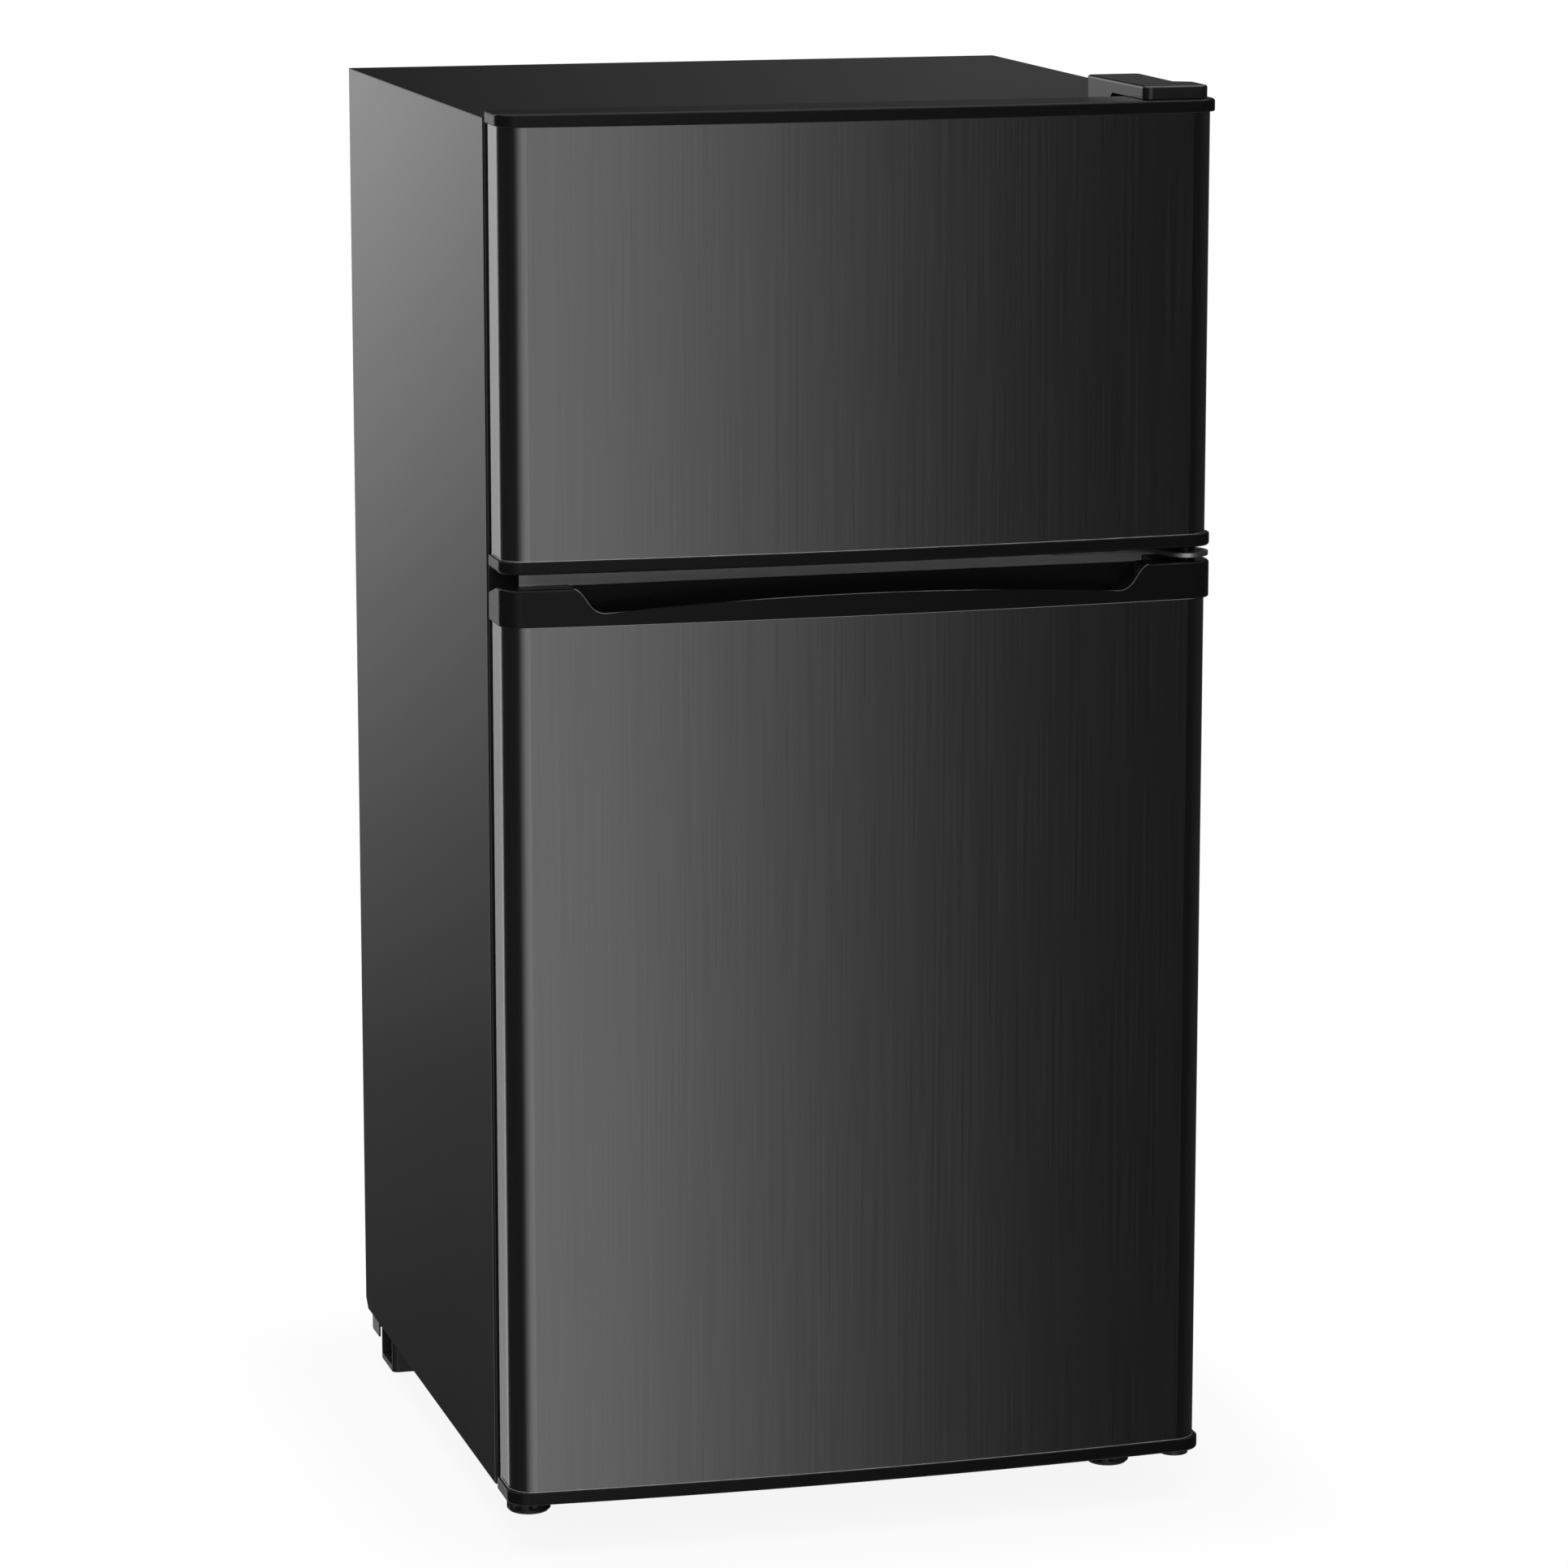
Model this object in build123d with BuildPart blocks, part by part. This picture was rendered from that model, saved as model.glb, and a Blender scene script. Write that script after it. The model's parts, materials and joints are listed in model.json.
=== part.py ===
from build123d import *

import os

os.makedirs("parts", exist_ok=True)

# Two-door compact fridge, in millimetres. The floor is z = 0, the doors face -Y, +X is to the right
# when facing them, and the origin is the middle of the footprint.

# Cabinet
CAB_WIDTH = 442.0
CAB_DEPTH = 410.0
CAB_BOTTOM = 32.0
CAB_TOP = 873.3
SHEET = 0.8
BEND = 1.5
SIDE_FLANGE = 19.5
REAR_FLANGE = 15.0
TOP_FLANGE = 20.0
BOTTOM_FLANGE = 24.0
REAR_NOTCH = 8.0

# Doors, measured forwards from the cabinet's front face
DOOR_FRONT = 57.0
DOOR_BACK = 12.0
DOOR_BOW = 8.5
CAP_HALF = 222.5
CAP_CORNER = 13.0
CAP_EDGE = 2.0
CAP_JOINT_EDGE = 0.8
SKIN_HALF = 220.5
SKIN_FRONT = 56.2
SKIN_CORNER = 16.0
SKIN_LIP = 11.0
PLUG_GAP = 0.2
CAP_PLUG = 5.0
HANDLE_PLUG = 16.0

# Heights of the door joints
FREEZER_TOP = 879.0
FREEZER_SKIN_TOP = 871.3
FREEZER_SKIN_BOTTOM = 614.8
FREEZER_BOTTOM = 606.9
FRIDGE_TOP = 598.0
FRIDGE_SKIN_TOP = 575.2
FRIDGE_SKIN_BOTTOM = 40.4
FRIDGE_BOTTOM = 32.0

# Finger scoop in the top cap of the fridge door
SCOOP_END = 184.0
SCOOP_EASE = 13.0
SCOOP_FOOT = 160.0
SCOOP_FOOT_Z = 582.6
SCOOP_START_Z = FRIDGE_TOP + 1.0
SCOOP_CREST_Z = 588.7
SCOOP_HALF = 158.0
SCOOP_FLOOR = 563.0
SCOOP_LIP = 3.0
SCOOP_WALL = 29.0
SCOOP_CORNER = 6.0
REAR_SLOPE_START = 34.0
REAR_SLOPE_DROP = 6.1
REAR_SLOPE_END_Z = FRIDGE_TOP - REAR_SLOPE_DROP
HINGE_BOSS_X = 188.0

# Frame in Y
DEPTH = DOOR_FRONT + CAB_DEPTH
FACE = DOOR_FRONT - DEPTH / 2
BACK = DEPTH / 2
SIDE = CAB_WIDTH / 2
INSIDE = SIDE - SHEET
FLANGE_EDGE = SIDE - SIDE_FLANGE - 0.2

# Compartments
LINER = 1.5
ROOM_HALF = 181.5
ROOM_DEPTH = 355.0
ROOM_ROUND = 16.0
ROOM_CORNER = 18.0
HUMP_CORNER = 12.0
FREEZER_FLOOR = 630.0
FREEZER_CEILING = 833.0
FRIDGE_FLOOR = 72.0
FRIDGE_CEILING = 572.0
RAIL_LOW = 580.0
RAIL_HIGH = 622.0
LEDGE = 7.0
LEDGE_START = 88.0
LEDGE_END = 330.0
FREEZER_SHELF_Z = 725.0
FRIDGE_LEDGES = (345.0, 400.0, 455.0)
LOWER_SHELF_Z = 345.0
UPPER_SHELF_Z = 455.0
RUNNER_HEIGHT = 1.8

# Compressor bay
BAY_START = 258.0
BAY_KNEE_Z = 150.0
BAY_TOP = 190.0
BAY_KNEE = BAY_TOP - BAY_KNEE_Z
BAY_WALL = 38.0
HUMP_TOP = 230.0

# Hinges
HINGE_X = 208.0
HINGE_Y = FACE - 36.0
PIN_R = 4.0
BORE_R = 4.06
BUSH_R = 6.5
BUSH_DEPTH = 11.5
BUSH_FLANGE_R = 6.0
BUSH_FLANGE = 2.0
PLATE = 2.5
RUN_GAP = 0.3
TOP_ARM_Z = 881.2
MIDDLE_PLATE_Z = 600.8
BOTTOM_PLATE_Z = 28.5
SCREW_HEAD_R = 4.0
SCREW_HEAD = 2.2
SCREW_R = 2.0

# Hinge cover
COVER_TOP = 887.2
COVER_LEFT = 171.0
COVER_HEAD_LEFT = 175.5
COVER_RIGHT = 206.0
COVER_HEAD_RIGHT = 216.3
COVER_REAR = 56.0
COVER_NECK = 16.0
COVER_NECK_EASE = 6.0
COVER_FRONT = 46.0
COVER_WALL = 1.8
COVER_EDGE = 1.6
COVER_FRONT_CORNER = 5.0
COVER_REAR_CORNER = 5.0
COVER_LIFT_Z = FREEZER_TOP + 0.4
COVER_LIFT = 16.0
COVER_LIFT_SLOPE = 6.0
COVER_SEAM = 28.0
COVER_SEAM_WIDTH = 0.8
COVER_SEAM_DEPTH = 0.6

# Gaskets
GASKET_HALF = 208.0
GASKET_WIDTH = 14.0
GASKET_WAIST = 3.0
GASKET_LAYERS = ((10.5, 7.5, 0.0), (7.5, 4.0, GASKET_WAIST), (4.0, RUN_GAP, 0.0))
GASKET_CORNER = 10.0
GASKET_MARGIN = 1.1
GASKET_TOP_MARGIN = 4.4

# Door liners and bins, measured backwards from the cabinet's front face
LINER_FLANGE_HALF = 214.0
DYKE_HALF = 170.0
DYKE_WIDTH = 22.0
DYKE_EDGE = 4.0
DYKE_CORNER = 16.0
DYKE_MARGIN = 11.0
LINER_FLANGE_CORNER = 6.0
FREEZER_DYKE = 12.0
FRIDGE_DYKE = 16.0
BIN_WALL = 2.0
BIN_HALF = DYKE_HALF - DYKE_WIDTH - 0.2
BIN_CORNER = 8.0
BIN_ROUND = 5.0
BIN_SEAT = 6.0

# Feet
FOOT_X = 190.5
FOOT_BEHIND = 43.5
FOOT_R = 13.75
FOOT_BEVEL = 1.5
FOOT_PAD = 8.0
FOOT_WAIST = 3.0
FOOT_WAIST_TOP = 22.0
FOOT_FLUTES = 8
FOOT_FLUTE_R = 5.0
FOOT_FLUTE_DEPTH = 1.4
FOOT_FLUTE_LOW = 3.0
STUD_R = 5.0
NUT_R = 8.0
NUT_BORE_R = 5.06
NUT_HEIGHT = 20.0
STUD_TOP = 52.0
REAR_FOOT_OUT = 214.0
REAR_FOOT_WIDTH = 40.0
REAR_FOOT_START = 353.0
REAR_FOOT_END = 394.0

# Compressor tray
TRAY = 1.2
TRAY_HALF = 217.0
TRAY_START = 246.0
TRAY_END = 407.0
POST_TOP = 58.0
TRAY_LIP_Z = 17.0
TRAY_LIP_DEPTH = 23.0
TRAY_TOP = CAB_BOTTOM
GLAND_X = -120.0
GLAND_Z = 24.0
GLAND_R = 5.0
GLAND_FLANGE_R = 6.5
GLAND_BORE_R = 3.6

# Compressor set
COMPRESSOR_X = 45.0
COMPRESSOR_BEHIND = 334.0
COMPRESSOR_LENGTH = 168.0
COMPRESSOR_WIDTH = 116.0
COMPRESSOR_LOW = 50.0
COMPRESSOR_SEAM = 112.0
COMPRESSOR_HIGH = 156.0
COMPRESSOR_CROWN = 26.0
COMPRESSOR_BASE = 16.0
SEAM_PROUD = 3.0
SEAM_HEIGHT = 3.0
SOLE = 3.0
SOLE_Z = 47.0
SOLE_LENGTH = 196.0
SOLE_WIDTH = 104.0
SOLE_CORNER = 12.0
MOUNT_PITCH_X = 170.0
MOUNT_PITCH_Y = 76.0
GROMMET_R = 10.0
GROMMET_WAIST_R = 7.0
GROMMET_BORE_R = 4.0
GROMMET_CAP = 4.0
STUD_POST_R = 3.8
DRIP_HIGH = 180.0
DRIP_WALL = 2.0
TUBE_R = 2.4
COIL_X = INSIDE - TUBE_R - 0.2
COIL_BEND = 28.0
COIL_UP = 384.0
COIL_DOWN = 336.0
COIL_FRONT = 84.0
COIL_HEIGHTS = (780.0, 620.0, 460.0, 300.0)
COIL_END_Z = 115.0
COIL_POCKET = 5.6

# Thermostat
HOUSING_LEFT = 56.0
HOUSING_RIGHT = 160.0
HOUSING_START = 110.0
HOUSING_END = 220.0
HOUSING_LOW = 534.0
HOUSING_WALL = 2.0
HOUSING_CORNER = 8.0
HOUSING_EDGE = 4.0
KNOB_X = 136.0
KNOB_Z = 552.0
KNOB_R = 16.0
KNOB_GRIP_R = 12.5
KNOB_FLUTES = 12
SPIGOT_R = 3.0
SPIGOT_BORE_R = 3.06
LAMP_X = 90.0
LAMP_WIDTH = 44.0
LAMP_HEIGHT = 22.0

# Shelves and drawer
SHELF_HALF = 179.0
SHELF_START = 92.0
SHELF_END = 346.0
SHELF_CORNER = 20.0
GLASS = 4.0
TRIM = 1.5
TRIM_DEPTH = 16.0
DRAWER_HALF = 170.0
DRAWER_START = 90.0
DRAWER_END = 214.0
DRAWER_LOW = 74.0
DRAWER_HIGH = 222.0
DRAWER_WALL = 2.2
DRAWER_CORNER = 9.0
DRAWER_ROUND = 6.0


def behind(distance):
    """Y of a place at this distance behind the cabinet's front face."""
    return FACE + distance


def upright(distance):
    """Plane at this distance behind the front face, with X across, Z up and its normal towards the viewer."""
    return Plane(origin=(0, behind(distance), 0), x_dir=(1, 0, 0), z_dir=(0, -1, 0))


def sideways(x):
    """Plane across the width at this X, with Y along its first axis, Z up and its normal towards +X."""
    return Plane(origin=(x, 0, 0), x_dir=(0, 1, 0), z_dir=(1, 0, 0))


def save(piece, name):
    """Labels a finished piece and writes it to its own file."""
    piece.label = name
    export_step(piece, f"parts/{name}.step")


def folded(points, sheet=SHEET):
    """Section of a folded sheet whose outer face follows the points, with the sheet on their left."""
    with BuildSketch() as section:
        with BuildLine():
            FilletPolyline(*points, radius=BEND)
            offset(amount=sheet, side=Side.LEFT)
        make_face()
    return section.sketch


def tube(points, bend, radius):
    """Round tube along straight runs joined by arcs."""
    with BuildPart() as pipe:
        with BuildLine() as route:
            FilletPolyline(*points, radius=bend)
        with BuildSketch(Plane(origin=route.line @ 0, z_dir=route.line % 0)):
            Circle(radius)
        sweep(path=route.wire())
    return pipe.part


def open_tub(middle, width, length, low, high, corner, rounding, wall):
    """Open-topped tub with rounded corners, a rounded floor edge and an even wall."""
    with BuildPart() as tub:
        for inset, mode in ((0, Mode.ADD), (wall, Mode.SUBTRACT)):
            with BuildPart(mode=mode) as block:
                with BuildSketch(Plane.XY.offset(low + inset)):
                    with Locations(middle):
                        RectangleRounded(width - 2 * inset, length - 2 * inset, corner - inset)
                extrude(amount=high - low)
                fillet(block.faces().sort_by(Axis.Z)[0].edges(), rounding - inset)
        with BuildSketch(Plane.XY.offset(high)):
            with Locations(middle):
                Rectangle(width, length)
        extrude(amount=wall, mode=Mode.SUBTRACT)
    return tub.part


def door_outline(half_width, front, back, corner):
    """Plan of a door: a bowed front with rounded corners, straight sides and a flat back."""
    shoulder = FACE - front + DOOR_BOW
    with BuildSketch() as plan:
        with BuildLine():
            ThreePointArc((-half_width, shoulder), (0, FACE - front), (half_width, shoulder))
            Polyline(
                (half_width, shoulder),
                (half_width, FACE - back),
                (-half_width, FACE - back),
                (-half_width, shoulder),
            )
        make_face()
        fillet(plan.vertices().group_by(Axis.Y)[0], corner)
    return plan.sketch


def plug_outline():
    """Plan of the space inside a door skin, with a little room all round."""
    inset = SHEET + PLUG_GAP
    return door_outline(SKIN_HALF - inset, SKIN_FRONT - inset, DOOR_BACK + inset, SKIN_CORNER - inset)


# Side panels: a sheet folded in at the front and the rear, with its lower rear corner cut off
def side_panel(hand):
    with BuildPart() as panel:
        with BuildSketch(Plane.XY.offset(CAB_BOTTOM)):
            add(
                folded(
                    [
                        (SIDE - SIDE_FLANGE, FACE),
                        (SIDE, FACE),
                        (SIDE, BACK),
                        (SIDE - REAR_FLANGE, BACK),
                    ]
                )
            )
        extrude(amount=CAB_TOP - SHEET - CAB_BOTTOM)
        with BuildSketch(sideways(SIDE - REAR_FLANGE)):
            with BuildLine():
                Polyline(
                    (BACK - REAR_NOTCH, CAB_BOTTOM),
                    (BACK, CAB_BOTTOM),
                    (BACK, CAB_BOTTOM + REAR_NOTCH),
                    close=True,
                )
            make_face()
        extrude(amount=REAR_FLANGE, mode=Mode.SUBTRACT)
    if hand < 0:
        return panel.part.mirror(Plane.YZ)
    return panel.part


save(side_panel(-1), "left_side_panel")
save(side_panel(1), "right_side_panel")

# Top panel with its front flange between the side flanges
with BuildPart() as top_panel:
    with BuildSketch(Plane.XY.offset(CAB_TOP - SHEET)):
        with Locations((0, (FACE + BACK) / 2)):
            RectangleRounded(CAB_WIDTH, CAB_DEPTH, BEND)
    extrude(amount=SHEET)
    with BuildSketch(upright(SHEET)):
        with Locations((0, CAB_TOP - TOP_FLANGE / 2)):
            Rectangle(2 * FLANGE_EDGE, TOP_FLANGE)
    extrude(amount=SHEET)
save(top_panel.part, "top_panel")

# Back panel with three stiffening beads
BEAD_WIDTH = 10.0
BEAD_PITCH = 120.0
BEAD_MARGIN = 60.0
PANEL_LOW = BAY_TOP + 1.0
PANEL_HIGH = CAB_TOP - SHEET
with BuildPart() as back_panel:
    with BuildSketch(upright(CAB_DEPTH - SHEET)):
        with Locations((0, (PANEL_LOW + PANEL_HIGH) / 2)):
            Rectangle(2 * (INSIDE - BEND), PANEL_HIGH - PANEL_LOW)
    extrude(amount=SHEET)
    with BuildSketch(upright(CAB_DEPTH)):
        with Locations((0, (PANEL_LOW + PANEL_HIGH) / 2)):
            with GridLocations(BEAD_PITCH, 0, 3, 1):
                SlotOverall(PANEL_HIGH - PANEL_LOW - 2 * BEAD_MARGIN, BEAD_WIDTH, rotation=90)
    extrude(amount=SHEET)
save(back_panel.part, "back_panel")

# Bottom panel with its front flange and a weld nut for each levelling foot
with BuildPart() as bottom_panel:
    with BuildSketch(Plane.XY.offset(CAB_BOTTOM)):
        with Locations((0, behind((BEND + BAY_START - 1) / 2))):
            Rectangle(2 * INSIDE, BAY_START - 1 - BEND)
    extrude(amount=SHEET)
    with BuildSketch(sideways(-FLANGE_EDGE)):
        add(
            folded(
                [
                    (behind(2 * BEND + 4), CAB_BOTTOM),
                    (FACE, CAB_BOTTOM),
                    (FACE, CAB_BOTTOM + BOTTOM_FLANGE),
                ][::-1]
            )
        )
    extrude(amount=2 * FLANGE_EDGE)
    with BuildSketch(Plane.XY.offset(CAB_BOTTOM)):
        with Locations((-FOOT_X, behind(FOOT_BEHIND)), (FOOT_X, behind(FOOT_BEHIND))):
            Circle(NUT_R)
    extrude(amount=SHEET + NUT_HEIGHT)
    with BuildSketch(Plane.XY.offset(CAB_BOTTOM)):
        with Locations((-FOOT_X, behind(FOOT_BEHIND)), (FOOT_X, behind(FOOT_BEHIND))):
            Circle(NUT_BORE_R)
    extrude(amount=SHEET + NUT_HEIGHT, mode=Mode.SUBTRACT)
save(bottom_panel.part, "bottom_panel")

# Compressor bay panel: wall, slope and roof in one folded sheet
with BuildPart() as compressor_bay_panel:
    with BuildSketch(sideways(-INSIDE + 0.1)):
        add(
            folded(
                [
                    (behind(BAY_START), CAB_BOTTOM),
                    (behind(BAY_START), BAY_KNEE_Z),
                    (behind(BAY_START + BAY_KNEE), BAY_TOP),
                    (BACK - 2 * SHEET, BAY_TOP),
                ]
            )
        )
    extrude(amount=2 * (INSIDE - 0.1))
    with BuildSketch(Plane.XY.offset(BAY_TOP)):
        with Locations((0, behind((COIL_UP + COIL_DOWN) / 2))):
            with GridLocations(2 * COIL_X, COIL_UP - COIL_DOWN, 2, 2):
                Rectangle(COIL_POCKET, COIL_POCKET)
    extrude(amount=SHEET, mode=Mode.SUBTRACT)
save(compressor_bay_panel.part, "compressor_bay_panel")


# Compartments: the hollow of each room, which its liner follows
HUMP_START = BAY_START - BAY_WALL
HUMP_SLOPE = BAY_WALL * 2**0.5
HUMP_KNEE_Z = BAY_KNEE_Z - BAY_WALL + HUMP_SLOPE
HUMP_SHELF = BAY_START + HUMP_TOP - BAY_KNEE_Z - HUMP_SLOPE
ROOM_MOUTH = -5.0


def freezer_corners():
    return [
        (behind(ROOM_MOUTH), FREEZER_FLOOR),
        (behind(ROOM_DEPTH), FREEZER_FLOOR),
        (behind(ROOM_DEPTH), FREEZER_CEILING),
        (behind(ROOM_MOUTH), FREEZER_CEILING),
    ]


def fridge_corners(tip=0.0):
    """Section of the fridge room; a tip cuts both outer corners of the hump by that length."""
    knee = [(behind(HUMP_START), HUMP_KNEE_Z)]
    shelf = [(behind(HUMP_SHELF), HUMP_TOP)]
    if tip:
        along = tip / 2**0.5
        knee = [
            (behind(HUMP_START), HUMP_KNEE_Z - tip),
            (behind(HUMP_START + along), HUMP_KNEE_Z + along),
        ]
        shelf = [
            (behind(HUMP_SHELF - along), HUMP_TOP - along),
            (behind(HUMP_SHELF + tip), HUMP_TOP),
        ]
    return [
        (behind(ROOM_MOUTH), FRIDGE_FLOOR),
        (behind(HUMP_START), FRIDGE_FLOOR),
        *knee,
        *shelf,
        (behind(ROOM_DEPTH), HUMP_TOP),
        (behind(ROOM_DEPTH), FRIDGE_CEILING),
        (behind(ROOM_MOUTH), FRIDGE_CEILING),
    ]


def room(corners, radii, grow):
    """Hollow of a room, grown on every side, with rounded corners or, without radii, with sharp ones."""
    half = ROOM_HALF + grow
    with BuildPart() as hollow:
        with BuildSketch(sideways(-half)):
            with BuildLine():
                if radii:
                    FilletPolyline(*corners, radius=radii)
                else:
                    Polyline(*corners)
                Line(corners[-1], corners[0])
            make_face()
            if grow > 0:
                offset(amount=grow, kind=Kind.INTERSECTION)
        extrude(amount=2 * half)
        if radii:
            mouth = behind(ROOM_MOUTH) + 1
            rims = hollow.faces().filter_by(Axis.X).edges()
            fillet(rims.filter_by(lambda edge: edge.bounding_box().max.Y > mouth), ROOM_ROUND + grow)
    return hollow.part


def room_liner(corners, radii, flange_low, flange_high, ledges):
    """Thin moulded tub with a front flange and ledges on its side walls, each ledge given as (z, end)."""
    with BuildPart() as liner:
        add(room(corners, radii, LINER))
        with BuildSketch(upright(LINER)):
            with Locations((0, (flange_low + flange_high) / 2)):
                Rectangle(2 * FLANGE_EDGE, flange_high - flange_low)
        extrude(amount=LINER)
        with BuildSketch(upright(0)):
            with Locations((0, (flange_low + flange_high) / 2)):
                Rectangle(CAB_WIDTH, flange_high - flange_low)
        extrude(amount=-2 * ROOM_MOUTH, mode=Mode.SUBTRACT)
        add(room(corners, radii, 0), mode=Mode.SUBTRACT)
        for ledge_z, ledge_end in ledges:
            with BuildSketch(upright(ledge_end)):
                with BuildLine():
                    Polyline(
                        (ROOM_HALF + LINER / 2, ledge_z),
                        (ROOM_HALF - LEDGE, ledge_z),
                        (ROOM_HALF - LEDGE, ledge_z - LEDGE / 2),
                        (ROOM_HALF + LINER / 2, ledge_z - 1.5 * LEDGE),
                        close=True,
                    )
                make_face()
                mirror(about=Plane.YZ)
            extrude(amount=ledge_end - LEDGE_START)
    return liner.part


FREEZER_RADII = [ROOM_CORNER, ROOM_CORNER]
FRIDGE_RADII = [ROOM_CORNER, HUMP_CORNER, HUMP_CORNER, ROOM_CORNER, ROOM_CORNER]

freezer_liner = room_liner(
    freezer_corners(),
    FREEZER_RADII,
    RAIL_HIGH,
    CAB_TOP - TOP_FLANGE - PLUG_GAP,
    [(FREEZER_SHELF_Z, LEDGE_END)],
)
save(freezer_liner, "freezer_liner")

# The fridge liner also has two runners for the drawer on its floor
RUNNER_X = 120.0
RUNNER_WIDTH = 6.0
RUNNER_START = 30.0
RUNNER_END = 196.0
with BuildPart() as fridge_liner:
    add(
        room_liner(
            fridge_corners(),
            FRIDGE_RADII,
            CAB_BOTTOM + BOTTOM_FLANGE + PLUG_GAP,
            RAIL_LOW,
            [(z, LEDGE_END) for z in FRIDGE_LEDGES] + [(HUMP_TOP, BAY_START)],
        )
    )
    with BuildSketch(Plane.XY.offset(FRIDGE_FLOOR - LINER / 2)):
        with Locations((0, behind((RUNNER_START + RUNNER_END) / 2))):
            with GridLocations(2 * RUNNER_X, 0, 2, 1):
                RectangleRounded(RUNNER_WIDTH, RUNNER_END - RUNNER_START, RUNNER_WIDTH / 2 - 0.1)
    extrude(amount=LINER / 2 + RUNNER_HEIGHT)
save(fridge_liner.part, "fridge_liner")

# Mullion rail across the front between the two rooms, with one shallow groove
GROOVE = 0.5
GROOVE_WIDTH = 2.0
GROOVE_Z = 594.0
with BuildPart() as mullion_rail:
    with BuildSketch(upright(LINER)):
        with Locations((0, (RAIL_LOW + RAIL_HIGH) / 2)):
            Rectangle(2 * FLANGE_EDGE, RAIL_HIGH - RAIL_LOW)
    extrude(amount=LINER)
    with BuildSketch(upright(GROOVE)):
        with Locations((0, GROOVE_Z)):
            Rectangle(2 * FLANGE_EDGE, GROOVE_WIDTH)
    extrude(amount=GROOVE, mode=Mode.SUBTRACT)
save(mullion_rail.part, "mullion_rail")

# Evaporators: roll-bonded plates against the backs of the liners, each with a serpentine channel
EVAPORATOR = 1.6
EVAPORATOR_PITCH = 44.0
EVAPORATOR_RUNS = 4
EVAPORATOR_BEND = 18.0
EVAPORATOR_MARGIN = 24.0
EVAPORATOR_ROOM = 6.0
EVAPORATOR_CORNER = 6.0
FOAM_GAP = 0.4
FREEZER_EVAPORATOR = (165.0, 655.0, 815.0)
FRIDGE_EVAPORATOR = (150.0, 330.0, 490.0)


def evaporator(half, low, high):
    plate_back = ROOM_DEPTH + LINER + EVAPORATOR
    reach = half - EVAPORATOR_MARGIN
    route = []
    for run in range(EVAPORATOR_RUNS):
        z = (low + high) / 2 + (run - (EVAPORATOR_RUNS - 1) / 2) * EVAPORATOR_PITCH
        ends = (-reach, reach) if run % 2 == 0 else (reach, -reach)
        route += [(x, behind(ROOM_DEPTH + LINER + TUBE_R + FOAM_GAP / 4), z) for x in ends]
    with BuildPart() as plate:
        with BuildSketch(upright(plate_back)):
            with Locations((0, (low + high) / 2)):
                RectangleRounded(2 * half, high - low, EVAPORATOR_CORNER)
        extrude(amount=EVAPORATOR)
        add(tube(route, EVAPORATOR_BEND, TUBE_R))
    return plate.part


save(evaporator(*FREEZER_EVAPORATOR), "freezer_evaporator")
save(evaporator(*FRIDGE_EVAPORATOR), "fridge_evaporator")

# Insulation foam: fills the cabinet round the rooms, the bay, the coils, the evaporators and the nuts
NUT_POCKET = 22.0
with BuildPart() as insulation_foam:
    with BuildSketch(Plane.XY.offset(CAB_BOTTOM + SHEET)):
        with Locations((0, behind((LINER + CAB_DEPTH - 2 * SHEET) / 2))):
            Rectangle(2 * INSIDE, CAB_DEPTH - 2 * SHEET - LINER)
    extrude(amount=CAB_TOP - 2 * SHEET - CAB_BOTTOM)
    add(room(freezer_corners(), None, LINER), mode=Mode.SUBTRACT)
    add(room(fridge_corners(HUMP_CORNER / 2), None, LINER), mode=Mode.SUBTRACT)
    with BuildSketch(sideways(-SIDE)):
        with BuildLine():
            Polyline(
                (behind(BAY_START - SHEET - FOAM_GAP), 0),
                (behind(BAY_START - SHEET - FOAM_GAP), BAY_KNEE_Z + FOAM_GAP),
                (behind(BAY_START + BAY_KNEE - FOAM_GAP), BAY_TOP + SHEET + FOAM_GAP),
                (BACK, BAY_TOP + SHEET + FOAM_GAP),
                (BACK, 0),
                close=True,
            )
        make_face()
    extrude(amount=CAB_WIDTH, mode=Mode.SUBTRACT)
    for half, low, high in (FREEZER_EVAPORATOR, FRIDGE_EVAPORATOR):
        with Locations((0, behind(ROOM_DEPTH + LINER + EVAPORATOR_ROOM / 2), (low + high) / 2)):
            Box(2 * half + 2, EVAPORATOR_ROOM, high - low + 2, mode=Mode.SUBTRACT)
    coil_low = BAY_TOP
    coil_high = COIL_HEIGHTS[0] + COIL_BEND
    coil_middle = behind((COIL_FRONT + COIL_UP) / 2)
    for hand in (-1, 1):
        with Locations((hand * (INSIDE - COIL_POCKET / 2), coil_middle, (coil_low + coil_high) / 2)):
            Box(
                COIL_POCKET,
                COIL_UP - COIL_FRONT + 4 * TUBE_R,
                coil_high - coil_low,
                mode=Mode.SUBTRACT,
            )
        with Locations((hand * FOOT_X, behind(FOOT_BEHIND), CAB_BOTTOM + SHEET + NUT_POCKET / 2)):
            Box(NUT_POCKET, NUT_POCKET, NUT_POCKET, mode=Mode.SUBTRACT)
save(insulation_foam.part, "insulation_foam")


# Condenser coils: a serpentine behind each side panel, with both ends down in the bay
def condenser_coil(hand):
    x = hand * COIL_X
    route = [(x, behind(COIL_UP), COIL_END_Z)]
    near_end = COIL_UP
    for run, z in enumerate(COIL_HEIGHTS):
        far_end = COIL_FRONT if run % 2 == 0 else COIL_DOWN
        route += [(x, behind(near_end), z), (x, behind(far_end), z)]
        near_end = far_end
    route.append((x, behind(COIL_DOWN), COIL_END_Z))
    return tube(route, COIL_BEND, TUBE_R)


with BuildPart() as condenser_coils:
    add(condenser_coil(-1))
    add(condenser_coil(1))
save(condenser_coils.part, "condenser_coils")

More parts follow.
